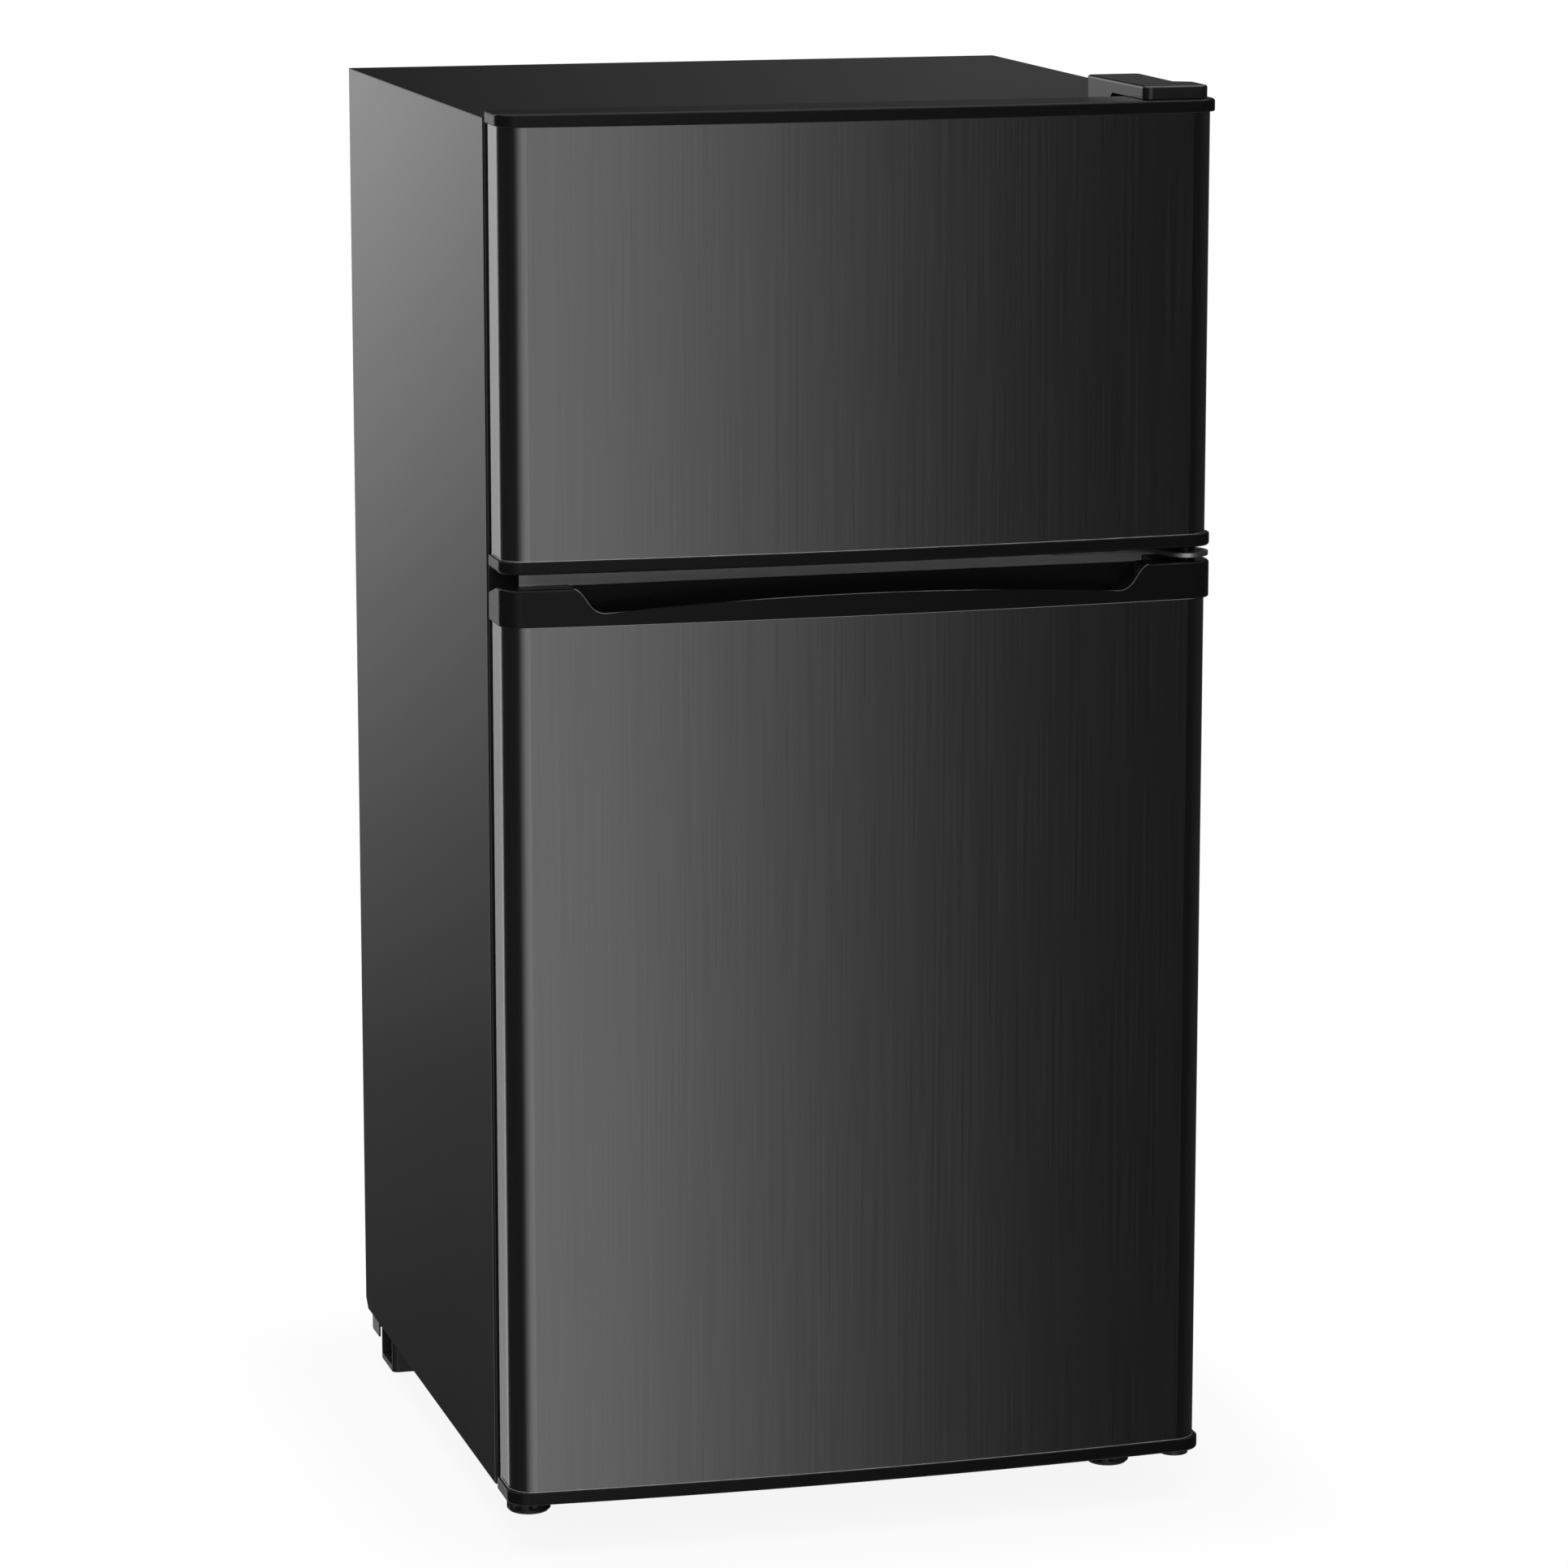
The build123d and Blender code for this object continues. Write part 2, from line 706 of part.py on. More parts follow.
# Compressor tray: a folded plate with a rear lip, closed lip ends and four posts for the compressor
with BuildPart() as compressor_tray:
    with BuildSketch(sideways(-TRAY_HALF)):
        add(
            folded(
                [
                    (behind(TRAY_END), TRAY_LIP_Z),
                    (behind(TRAY_END), TRAY_TOP),
                    (behind(TRAY_START), TRAY_TOP),
                ],
                TRAY,
            )
        )
    extrude(amount=2 * TRAY_HALF)
    with BuildSketch(sideways(-TRAY_HALF)):
        with Locations((behind(TRAY_END - TRAY_LIP_DEPTH / 2), (TRAY_LIP_Z + TRAY_TOP - TRAY) / 2)):
            Rectangle(TRAY_LIP_DEPTH - 2 * TRAY, TRAY_TOP - TRAY_LIP_Z)
    extrude(amount=TRAY)
    mirror(about=Plane.YZ)
    with BuildSketch(Plane.XY.offset(TRAY_TOP - TRAY)):
        with Locations((COMPRESSOR_X, behind(COMPRESSOR_BEHIND))):
            with GridLocations(MOUNT_PITCH_X, MOUNT_PITCH_Y, 2, 2):
                Circle(STUD_POST_R)
    extrude(amount=POST_TOP - TRAY_TOP + TRAY)
    with BuildSketch(upright(TRAY_END)):
        with Locations((GLAND_X, GLAND_Z)):
            Circle(GLAND_R)
    extrude(amount=2 * TRAY, mode=Mode.SUBTRACT)
save(compressor_tray.part, "compressor_tray")

# Cord gland: a rubber bush in the tray's rear lip
GLAND_FLANGE = 2.0
with BuildPart() as cord_gland:
    with BuildSketch(upright(TRAY_END + GLAND_FLANGE)):
        with Locations((GLAND_X, GLAND_Z)):
            Circle(GLAND_FLANGE_R)
    extrude(amount=GLAND_FLANGE)
    with BuildSketch(upright(TRAY_END)):
        with Locations((GLAND_X, GLAND_Z)):
            Circle(GLAND_R)
    extrude(amount=TRAY + GLAND_FLANGE)
    with BuildSketch(upright(TRAY_END + GLAND_FLANGE)):
        with Locations((GLAND_X, GLAND_Z)):
            Circle(GLAND_BORE_R)
    extrude(amount=TRAY + 2 * GLAND_FLANGE, mode=Mode.SUBTRACT)
save(cord_gland.part, "cord_gland")

# Compressor: two domed shells on a weld seam, on a sole plate
with BuildPart() as compressor:
    with BuildSketch(Plane.XY.offset(COMPRESSOR_LOW)):
        with Locations((COMPRESSOR_X, behind(COMPRESSOR_BEHIND))):
            Ellipse(COMPRESSOR_LENGTH / 2, COMPRESSOR_WIDTH / 2)
    extrude(amount=COMPRESSOR_HIGH - COMPRESSOR_LOW)
    fillet(compressor.edges().sort_by(Axis.Z)[-1], COMPRESSOR_CROWN)
    fillet(compressor.edges().sort_by(Axis.Z)[0], COMPRESSOR_BASE)
    with BuildSketch(Plane.XY.offset(COMPRESSOR_SEAM)):
        with Locations((COMPRESSOR_X, behind(COMPRESSOR_BEHIND))):
            Ellipse(COMPRESSOR_LENGTH / 2 + SEAM_PROUD, COMPRESSOR_WIDTH / 2 + SEAM_PROUD)
    extrude(amount=SEAM_HEIGHT)
    with BuildSketch(Plane.XY.offset(SOLE_Z)):
        with Locations((COMPRESSOR_X, behind(COMPRESSOR_BEHIND))):
            RectangleRounded(SOLE_LENGTH, SOLE_WIDTH, SOLE_CORNER)
            with GridLocations(MOUNT_PITCH_X, MOUNT_PITCH_Y, 2, 2):
                Circle(GROMMET_WAIST_R, mode=Mode.SUBTRACT)
    extrude(amount=SOLE)
save(compressor.part, "compressor")

# Rubber grommets that carry the sole plate on the tray's posts
with BuildPart() as compressor_grommets:
    with BuildSketch(Plane.XZ):
        with BuildLine():
            Polyline(
                (GROMMET_BORE_R, TRAY_TOP),
                (GROMMET_R, TRAY_TOP),
                (GROMMET_R, SOLE_Z),
                (GROMMET_WAIST_R, SOLE_Z),
                (GROMMET_WAIST_R, SOLE_Z + SOLE),
                (GROMMET_R - 1, SOLE_Z + SOLE),
                (GROMMET_R - 2, SOLE_Z + SOLE + GROMMET_CAP),
                (GROMMET_BORE_R, SOLE_Z + SOLE + GROMMET_CAP),
                close=True,
            )
        make_face()
    revolve(axis=Axis.Z)
grommet = compressor_grommets.part
with BuildPart() as compressor_grommets:
    with Locations((COMPRESSOR_X, behind(COMPRESSOR_BEHIND), 0)):
        with GridLocations(MOUNT_PITCH_X, MOUNT_PITCH_Y, 2, 2):
            add(grommet)
save(compressor_grommets.part, "compressor_grommets")

# Starter relay cover clipped to the compressor's right end
RELAY_START_X = 122.0
RELAY_END_X = 162.0
RELAY_WIDTH = 46.0
RELAY_LOW = 66.0
RELAY_HIGH = 124.0
RELAY_CORNER = 6.0
RELAY_EDGE = 4.0
with BuildPart() as starter_relay_cover:
    with BuildSketch(sideways(RELAY_START_X)):
        with Locations((behind(COMPRESSOR_BEHIND), (RELAY_LOW + RELAY_HIGH) / 2)):
            RectangleRounded(RELAY_WIDTH, RELAY_HIGH - RELAY_LOW, RELAY_CORNER)
    extrude(amount=RELAY_END_X - RELAY_START_X)
    fillet(starter_relay_cover.faces().sort_by(Axis.X)[-1].edges(), RELAY_EDGE)
    add(compressor.part, mode=Mode.SUBTRACT)
relay = starter_relay_cover.part.solids().sort_by(Axis.X)[-1]
save(Part(relay.wrapped), "starter_relay_cover")

# Filter drier: a copper cylinder drawn in at both ends
DRIER_X = -150.0
DRIER_BEHIND = 384.0
DRIER_LOW = 66.0
DRIER_HIGH = 152.0
DRIER_R = 9.0
DRIER_NECK = 14.0
DRIER_END_R = TUBE_R + 1.0
DRIER_END = 5.0
with BuildPart() as filter_drier:
    with BuildSketch(Plane.XZ):
        with BuildLine():
            Polyline(
                (0, DRIER_LOW),
                (DRIER_END_R, DRIER_LOW),
                (DRIER_END_R, DRIER_LOW + DRIER_END),
                (DRIER_R, DRIER_LOW + DRIER_NECK),
                (DRIER_R, DRIER_HIGH - DRIER_NECK),
                (TUBE_R, DRIER_HIGH - DRIER_END),
                (TUBE_R, DRIER_HIGH),
                (0, DRIER_HIGH),
                close=True,
            )
        make_face()
    revolve(axis=Axis.Z)
drier = filter_drier.part
with BuildPart() as filter_drier:
    with Locations((DRIER_X, behind(DRIER_BEHIND), 0)):
        add(drier)
save(filter_drier.part, "filter_drier")

# Refrigerant tubes in the bay: discharge, link between the coils, drier inlet, capillary and suction
TUBE_BEND = 11.0
SUCTION_R = 3.2
CAPILLARY_R = 1.2
DISCHARGE_Z = 136.0
LINK_Z = 84.0
LINK_BEHIND = 266.0
SUCTION_X = -64.0
SUCTION_Z = 120.0
INLET_Z = 48.0
CAPILLARY_X = -118.0
CAPILLARY_Z = 171.0
CAPILLARY_BEHIND = DRIER_BEHIND - 20.0
DISCHARGE_X = 180.0
LINK_SIDE = COIL_X - 12.0
SHELL_DEPTH = 70.0
discharge_route = [
    (COMPRESSOR_X + SHELL_DEPTH, behind(COMPRESSOR_BEHIND), DISCHARGE_Z),
    (DISCHARGE_X, behind(COMPRESSOR_BEHIND), DISCHARGE_Z),
    (DISCHARGE_X, behind(COIL_UP), LINK_Z),
    (COIL_X, behind(COIL_UP), LINK_Z),
    (COIL_X, behind(COIL_UP), COIL_END_Z),
]
link_route = [
    (COIL_X, behind(COIL_DOWN), COIL_END_Z),
    (COIL_X, behind(COIL_DOWN), LINK_Z),
    (LINK_SIDE, behind(LINK_BEHIND), LINK_Z),
    (-LINK_SIDE, behind(LINK_BEHIND), LINK_Z),
    (-COIL_X, behind(COIL_DOWN), LINK_Z),
    (-COIL_X, behind(COIL_DOWN), COIL_END_Z),
]
inlet_route = [
    (-COIL_X, behind(COIL_UP), COIL_END_Z),
    (-COIL_X, behind(COIL_UP), INLET_Z),
    (DRIER_X, behind(DRIER_BEHIND), INLET_Z),
    (DRIER_X, behind(DRIER_BEHIND), DRIER_LOW),
]
capillary_route = [
    (DRIER_X, behind(DRIER_BEHIND), DRIER_HIGH),
    (DRIER_X, behind(DRIER_BEHIND), CAPILLARY_Z),
    (CAPILLARY_X, behind(CAPILLARY_BEHIND), CAPILLARY_Z),
    (CAPILLARY_X, behind(CAPILLARY_BEHIND), BAY_TOP),
]
suction_route = [
    (SUCTION_X, behind(COMPRESSOR_BEHIND), BAY_TOP),
    (SUCTION_X, behind(COMPRESSOR_BEHIND), SUCTION_Z),
    (COMPRESSOR_X - SHELL_DEPTH, behind(COMPRESSOR_BEHIND), SUCTION_Z),
]
with BuildPart() as refrigerant_tubes:
    add(tube(discharge_route, TUBE_BEND, TUBE_R))
    add(tube(suction_route, TUBE_BEND, SUCTION_R))
    add(compressor.part, mode=Mode.SUBTRACT)
    add(tube(link_route, TUBE_BEND, TUBE_R))
    add(tube(inlet_route, TUBE_BEND, TUBE_R))
    add(tube(capillary_route, TUBE_BEND / 2, CAPILLARY_R))
save(refrigerant_tubes.part, "refrigerant_tubes")

# Drip tray on the compressor's crown
DRIP_LENGTH = 120.0
DRIP_DEPTH = 84.0
DRIP_BEHIND = 342.0
DRIP_CORNER = 14.0
DRIP_ROUND = 6.0
drip_tray = open_tub(
    (COMPRESSOR_X, behind(DRIP_BEHIND)),
    DRIP_LENGTH,
    DRIP_DEPTH,
    COMPRESSOR_HIGH,
    DRIP_HIGH,
    DRIP_CORNER,
    DRIP_ROUND,
    DRIP_WALL,
)
save(drip_tray, "drip_tray")


# Feet: moulded blocks at the rear, open on their outer side, and levelling feet at the front
FOOT_WALL = 4.0
FOOT_POCKET = 28.0
FOOT_POCKET_CORNER = 3.0


def rear_foot(hand):
    top = TRAY_TOP - TRAY
    middle = behind((REAR_FOOT_START + REAR_FOOT_END) / 2)
    length = REAR_FOOT_END - REAR_FOOT_START
    with BuildPart() as foot:
        with BuildSketch():
            with Locations((REAR_FOOT_OUT - REAR_FOOT_WIDTH / 2, middle)):
                RectangleRounded(REAR_FOOT_WIDTH, length, FOOT_WALL)
        extrude(amount=top)
        with BuildSketch(sideways(REAR_FOOT_OUT - FOOT_POCKET)):
            with Locations((middle, top / 2)):
                RectangleRounded(length - 2 * FOOT_WALL, top - 2 * FOOT_WALL, FOOT_POCKET_CORNER)
        extrude(amount=FOOT_POCKET, mode=Mode.SUBTRACT)
    if hand < 0:
        return foot.part.mirror(Plane.YZ)
    return foot.part


def front_foot(hand):
    """Levelling foot: a fluted pad, a waist under a collar and the stud that turns in the nut."""
    waist_r = FOOT_R - FOOT_WAIST
    with BuildPart() as foot:
        with BuildSketch(Plane.XZ):
            with BuildLine():
                Polyline(
                    (0, 0),
                    (FOOT_R - FOOT_BEVEL, 0),
                    (FOOT_R, FOOT_BEVEL),
                    (FOOT_R, FOOT_PAD + FOOT_WAIST),
                    (waist_r, FOOT_PAD + 2 * FOOT_WAIST),
                    (waist_r, FOOT_WAIST_TOP),
                    (FOOT_R, FOOT_WAIST_TOP + FOOT_WAIST),
                    (FOOT_R, CAB_BOTTOM - RUN_GAP),
                    (STUD_R, CAB_BOTTOM - RUN_GAP),
                    (STUD_R, STUD_TOP),
                    (0, STUD_TOP),
                    close=True,
                )
            make_face()
        revolve(axis=Axis.Z)
        with BuildSketch(Plane.XY.offset(FOOT_FLUTE_LOW)):
            with PolarLocations(FOOT_R + FOOT_FLUTE_R - FOOT_FLUTE_DEPTH, FOOT_FLUTES):
                Circle(FOOT_FLUTE_R)
        extrude(amount=FOOT_PAD + FOOT_WAIST, mode=Mode.SUBTRACT)
    return foot.part.moved(Location((hand * FOOT_X, behind(FOOT_BEHIND), 0)))


save(rear_foot(-1), "rear_foot_left")
save(rear_foot(1), "rear_foot_right")
save(front_foot(-1), "front_foot_left")
save(front_foot(1), "front_foot_right")

# Top hinge: a stepped bracket on the cabinet top, its pin and a moulded cover
BRACKET_LEFT = 182.0
BRACKET_RIGHT = 198.0
BRACKET_REAR = 52.0
BRACKET_STEP = 22.0
BRACKET_STEP_TOP = 10.0
ARM_R = 6.0
ARM_ROOT = 4.0
ARM_ROOT_FRONT = 2.0
TOP_SCREWS = ((190.0, 28.0), (190.0, 44.0))
with BuildPart() as top_hinge_bracket:
    with BuildSketch(sideways(BRACKET_LEFT)):
        add(
            folded(
                [
                    (behind(-ARM_ROOT_FRONT), TOP_ARM_Z),
                    (behind(BRACKET_STEP_TOP), TOP_ARM_Z),
                    (behind(BRACKET_STEP), CAB_TOP),
                    (behind(BRACKET_REAR), CAB_TOP),
                ],
                PLATE,
            )
        )
    extrude(amount=BRACKET_RIGHT - BRACKET_LEFT)
    with BuildSketch(Plane.XY.offset(TOP_ARM_Z)):
        with Locations((HINGE_X, HINGE_Y)):
            Circle(ARM_R)
        with Locations(((BRACKET_LEFT + BRACKET_RIGHT) / 2, behind(ARM_ROOT / 2 - ARM_ROOT_FRONT - 1))):
            Rectangle(BRACKET_RIGHT - BRACKET_LEFT, ARM_ROOT)
        make_hull()
        with Locations((HINGE_X, HINGE_Y)):
            Circle(PIN_R, mode=Mode.SUBTRACT)
    extrude(amount=PLATE)
    with BuildSketch(Plane.XY.offset(CAB_TOP)):
        with Locations(*[(x, behind(y)) for x, y in TOP_SCREWS]):
            Circle(SCREW_R)
    extrude(amount=PLATE, mode=Mode.SUBTRACT)
save(top_hinge_bracket.part, "top_hinge_bracket")


def hinge_pin(low, high):
    with BuildPart() as pin:
        with BuildSketch(Plane.XY.offset(low)):
            with Locations((HINGE_X, HINGE_Y)):
                Circle(PIN_R)
        extrude(amount=high - low)
    return pin.part


save(hinge_pin(FREEZER_TOP - BUSH_DEPTH + 1, TOP_ARM_Z + PLATE), "top_hinge_pin")


def cover_plan(inset):
    with BuildSketch() as plan:
        with BuildLine():
            Polyline(
                (COVER_LEFT, behind(COVER_REAR)),
                (COVER_HEAD_LEFT, behind(-COVER_FRONT)),
                (COVER_HEAD_RIGHT, behind(-COVER_FRONT)),
                (COVER_HEAD_RIGHT, behind(-COVER_NECK)),
                (COVER_RIGHT, behind(-COVER_NECK + COVER_NECK_EASE)),
                (COVER_RIGHT, behind(COVER_REAR)),
                close=True,
            )
        make_face()
        fillet(plan.vertices().group_by(Axis.Y)[0], COVER_FRONT_CORNER)
        fillet(plan.vertices().group_by(Axis.Y)[-1], COVER_REAR_CORNER)
        if inset:
            offset(amount=-inset)
    return plan.sketch


with BuildPart() as top_hinge_cover:
    with BuildSketch(Plane.XY.offset(CAB_TOP)):
        add(cover_plan(0))
    extrude(amount=COVER_TOP - CAB_TOP)
    fillet(top_hinge_cover.faces().sort_by(Axis.Z)[-1].edges(), COVER_EDGE)
    with BuildSketch(Plane.XY.offset(CAB_TOP)):
        add(cover_plan(COVER_WALL))
    extrude(amount=COVER_TOP - COVER_WALL - CAB_TOP, mode=Mode.SUBTRACT)
    with BuildSketch(sideways(COVER_LEFT)):
        with BuildLine():
            Polyline(
                (behind(-COVER_FRONT), CAB_TOP),
                (behind(COVER_LIFT), CAB_TOP),
                (behind(COVER_LIFT - COVER_LIFT_SLOPE), COVER_LIFT_Z),
                (behind(-COVER_FRONT), COVER_LIFT_Z),
                close=True,
            )
        make_face()
    extrude(amount=COVER_HEAD_RIGHT - COVER_LEFT, mode=Mode.SUBTRACT)
    with BuildSketch(sideways(COVER_LEFT)):
        with Locations((behind(-COVER_SEAM), COVER_TOP)):
            Rectangle(COVER_SEAM_WIDTH, 2 * COVER_SEAM_DEPTH)
    extrude(amount=COVER_HEAD_RIGHT - COVER_LEFT, mode=Mode.SUBTRACT)
save(top_hinge_cover.part, "top_hinge_cover")

# Middle hinge: a flange along the rail, a plate between the doors and one pin for both doors
MIDDLE_LEFT = 132.0
MIDDLE_RIGHT = 206.0
MIDDLE_LOW = 597.6
MIDDLE_HIGH = 609.4
MIDDLE_R = 14.0
MIDDLE_CORNER = 3.0
MIDDLE_ROOT = 24.0
MIDDLE_SCREWS = (143.0, 166.0)
MIDDLE_SCREW_Z = (MIDDLE_LOW + MIDDLE_HIGH) / 2
with BuildPart() as middle_hinge_bracket:
    with BuildSketch(upright(0)):
        with Locations(((MIDDLE_LEFT + MIDDLE_RIGHT) / 2, (MIDDLE_LOW + MIDDLE_HIGH) / 2)):
            RectangleRounded(MIDDLE_RIGHT - MIDDLE_LEFT, MIDDLE_HIGH - MIDDLE_LOW, MIDDLE_CORNER)
        with Locations(*[(x, MIDDLE_SCREW_Z) for x in MIDDLE_SCREWS]):
            Circle(SCREW_R, mode=Mode.SUBTRACT)
    extrude(amount=PLATE)
    with BuildSketch(Plane.XY.offset(MIDDLE_PLATE_Z)):
        with Locations((HINGE_X, HINGE_Y)):
            Circle(MIDDLE_R)
        with Locations((MIDDLE_RIGHT - MIDDLE_ROOT / 2, behind(-PLATE))):
            Rectangle(MIDDLE_ROOT, 2 * PLATE)
        make_hull()
        with Locations((HINGE_X, HINGE_Y)):
            Circle(PIN_R, mode=Mode.SUBTRACT)
    extrude(amount=PLATE)
    with BuildSketch(upright(4 * PLATE)):
        with Locations((MIDDLE_RIGHT, MIDDLE_PLATE_Z)):
            Rectangle(4 * MIDDLE_R, 4 * MIDDLE_R)
    extrude(amount=4 * PLATE, mode=Mode.SUBTRACT)
save(middle_hinge_bracket.part, "middle_hinge_bracket")
save(hinge_pin(FRIDGE_TOP - BUSH_DEPTH + 1, FREEZER_BOTTOM + BUSH_DEPTH - 1), "middle_hinge_pin")

# Bottom hinge: a plate on two pads under the cabinet, and its pin
BOTTOM_SCREWS = ((198.0, 10.0), (198.0, 22.0))
PAD_R = 5.5
BOTTOM_R = 9.0
BOTTOM_ROOT = (202.0, 14.0)
BOTTOM_ROOT_SIZE = 26.0
BOTTOM_ROOT_CORNER = 4.0
with BuildPart() as bottom_hinge_bracket:
    with BuildSketch(Plane.XY.offset(BOTTOM_PLATE_Z)):
        with Locations((HINGE_X, HINGE_Y)):
            Circle(BOTTOM_R)
        with Locations((BOTTOM_ROOT[0], behind(BOTTOM_ROOT[1]))):
            RectangleRounded(BOTTOM_ROOT_SIZE, BOTTOM_ROOT_SIZE, BOTTOM_ROOT_CORNER)
        make_hull()
        with Locations((HINGE_X, HINGE_Y)):
            Circle(PIN_R, mode=Mode.SUBTRACT)
    extrude(amount=PLATE)
    with BuildSketch(Plane.XY.offset(BOTTOM_PLATE_Z + PLATE)):
        with Locations(*[(x, behind(y)) for x, y in BOTTOM_SCREWS]):
            Circle(PAD_R)
    extrude(amount=CAB_BOTTOM - BOTTOM_PLATE_Z - PLATE)
    with BuildSketch(Plane.XY.offset(BOTTOM_PLATE_Z)):
        with Locations(*[(x, behind(y)) for x, y in BOTTOM_SCREWS]):
            Circle(SCREW_R)
    extrude(amount=CAB_BOTTOM - BOTTOM_PLATE_Z, mode=Mode.SUBTRACT)
save(bottom_hinge_bracket.part, "bottom_hinge_bracket")
save(hinge_pin(BOTTOM_PLATE_Z, FRIDGE_BOTTOM + BUSH_DEPTH - 1), "bottom_hinge_pin")


# Hinge screws: domed heads with plain shanks
def screw(length):
    with BuildPart() as piece:
        with BuildSketch():
            Circle(SCREW_HEAD_R)
        extrude(amount=SCREW_HEAD)
        chamfer(piece.edges().sort_by(Axis.Z)[-1], SCREW_HEAD / 2)
        with BuildSketch():
            Circle(SCREW_R)
        extrude(amount=-length)
    return piece.part


with BuildPart() as hinge_screws:
    with Locations(*[Location((x, behind(y), CAB_TOP + PLATE)) for x, y in TOP_SCREWS]):
        add(screw(PLATE))
    with Locations(*[upright(-PLATE).location * Location((x, MIDDLE_SCREW_Z, 0)) for x in MIDDLE_SCREWS]):
        add(screw(PLATE))
    with Locations(*[Location((x, behind(y), BOTTOM_PLATE_Z), (180, 0, 0)) for x, y in BOTTOM_SCREWS]):
        add(screw(CAB_BOTTOM - BOTTOM_PLATE_Z))
save(hinge_screws.part, "hinge_screws")

# Thermostat housing under the fridge ceiling, open at its top, with a lamp window and a shaft hole
HOUSING_WIDTH = HOUSING_RIGHT - HOUSING_LEFT
HOUSING_DEPTH = HOUSING_END - HOUSING_START
HOUSING_MIDDLE = ((HOUSING_LEFT + HOUSING_RIGHT) / 2, behind((HOUSING_START + HOUSING_END) / 2))
with BuildPart() as thermostat_housing:
    with BuildSketch(Plane.XY.offset(HOUSING_LOW)):
        with Locations(HOUSING_MIDDLE):
            RectangleRounded(HOUSING_WIDTH, HOUSING_DEPTH, HOUSING_CORNER)
    extrude(amount=FRIDGE_CEILING - HOUSING_LOW)
    fillet(thermostat_housing.faces().sort_by(Axis.Z)[0].edges(), HOUSING_EDGE)
    with BuildSketch(Plane.XY.offset(HOUSING_LOW + HOUSING_WALL)):
        with Locations(HOUSING_MIDDLE):
            RectangleRounded(
                HOUSING_WIDTH - 2 * HOUSING_WALL,
                HOUSING_DEPTH - 2 * HOUSING_WALL,
                HOUSING_CORNER - HOUSING_WALL,
            )
    extrude(amount=FRIDGE_CEILING - HOUSING_LOW, mode=Mode.SUBTRACT)
    with BuildSketch(upright(HOUSING_START + HOUSING_WALL)):
        with Locations((KNOB_X, KNOB_Z)):
            Circle(SPIGOT_BORE_R)
        with Locations((LAMP_X, KNOB_Z)):
            Rectangle(LAMP_WIDTH, LAMP_HEIGHT)
    extrude(amount=2 * HOUSING_WALL, mode=Mode.SUBTRACT)
save(thermostat_housing.part, "thermostat_housing")

# Lamp cover set in the housing's window
LAMP_PROUD = 3.0
LAMP_EDGE = 2.5
with BuildPart() as lamp_cover:
    with BuildSketch(upright(HOUSING_START + HOUSING_WALL)):
        with Locations((LAMP_X, KNOB_Z)):
            Rectangle(LAMP_WIDTH, LAMP_HEIGHT)
    extrude(amount=HOUSING_WALL + LAMP_PROUD)
    fillet(lamp_cover.faces().sort_by(Axis.Y)[0].edges(), LAMP_EDGE)
save(lamp_cover.part, "lamp_cover")

# Thermostat knob: a skirt, a fluted grip, a pointer ridge and the spigot that turns in the housing
KNOB_SKIRT = 4.0
KNOB_GRIP = 11.0
FLUTE_R = 2.0
POINTER = 1.0
POINTER_WIDTH = 2.0
with BuildPart() as thermostat_knob:
    with BuildSketch(upright(HOUSING_START - RUN_GAP)):
        with Locations((KNOB_X, KNOB_Z)):
            Circle(KNOB_R)
    extrude(amount=KNOB_SKIRT)
    with BuildSketch(upright(HOUSING_START - RUN_GAP - KNOB_SKIRT)):
        with Locations((KNOB_X, KNOB_Z)):
            Circle(KNOB_GRIP_R)
            with PolarLocations(KNOB_GRIP_R + FLUTE_R / 2, KNOB_FLUTES):
                Circle(FLUTE_R, mode=Mode.SUBTRACT)
    extrude(amount=KNOB_GRIP)
    with BuildSketch(upright(HOUSING_START - RUN_GAP - KNOB_SKIRT - KNOB_GRIP)):
        with Locations((KNOB_X, KNOB_Z + KNOB_GRIP_R / 2)):
            Rectangle(POINTER_WIDTH, KNOB_GRIP_R - POINTER_WIDTH)
    extrude(amount=POINTER)
    with BuildSketch(upright(HOUSING_START + 4 * HOUSING_WALL)):
        with Locations((KNOB_X, KNOB_Z)):
            Circle(SPIGOT_R)
    extrude(amount=4 * HOUSING_WALL + RUN_GAP)
save(thermostat_knob.part, "thermostat_knob")

# Freezer shelf: a bent wire frame with wires laid across it
WIRE_FRAME_R = 2.5
WIRE_R = 1.4
WIRES = 13
WIRE_PITCH = 26.0
FRAME_HALF = SHELF_HALF - 1 - WIRE_FRAME_R
FRAME_START = SHELF_START - 4
FRAME_END = SHELF_END - 8
FRAME_Z = FREEZER_SHELF_Z + WIRE_FRAME_R
with BuildPart() as freezer_shelf:
    with BuildLine(Plane.XY.offset(FRAME_Z)) as frame_route:
        FilletPolyline(
            (FRAME_HALF, behind(FRAME_START)),
            (FRAME_HALF, behind(FRAME_END)),
            (-FRAME_HALF, behind(FRAME_END)),
            (-FRAME_HALF, behind(FRAME_START)),
            radius=SHELF_CORNER,
            close=True,
        )
    with BuildSketch(Plane(origin=frame_route.line @ 0, z_dir=frame_route.line % 0)):
        Circle(WIRE_FRAME_R)
    sweep(path=frame_route.wire())
    with BuildSketch(upright(FRAME_END)):
        with Locations((0, FRAME_Z + WIRE_FRAME_R)):
            with GridLocations(WIRE_PITCH, 0, WIRES, 1):
                Circle(WIRE_R)
    extrude(amount=FRAME_END - FRAME_START)
save(freezer_shelf.part, "freezer_shelf")


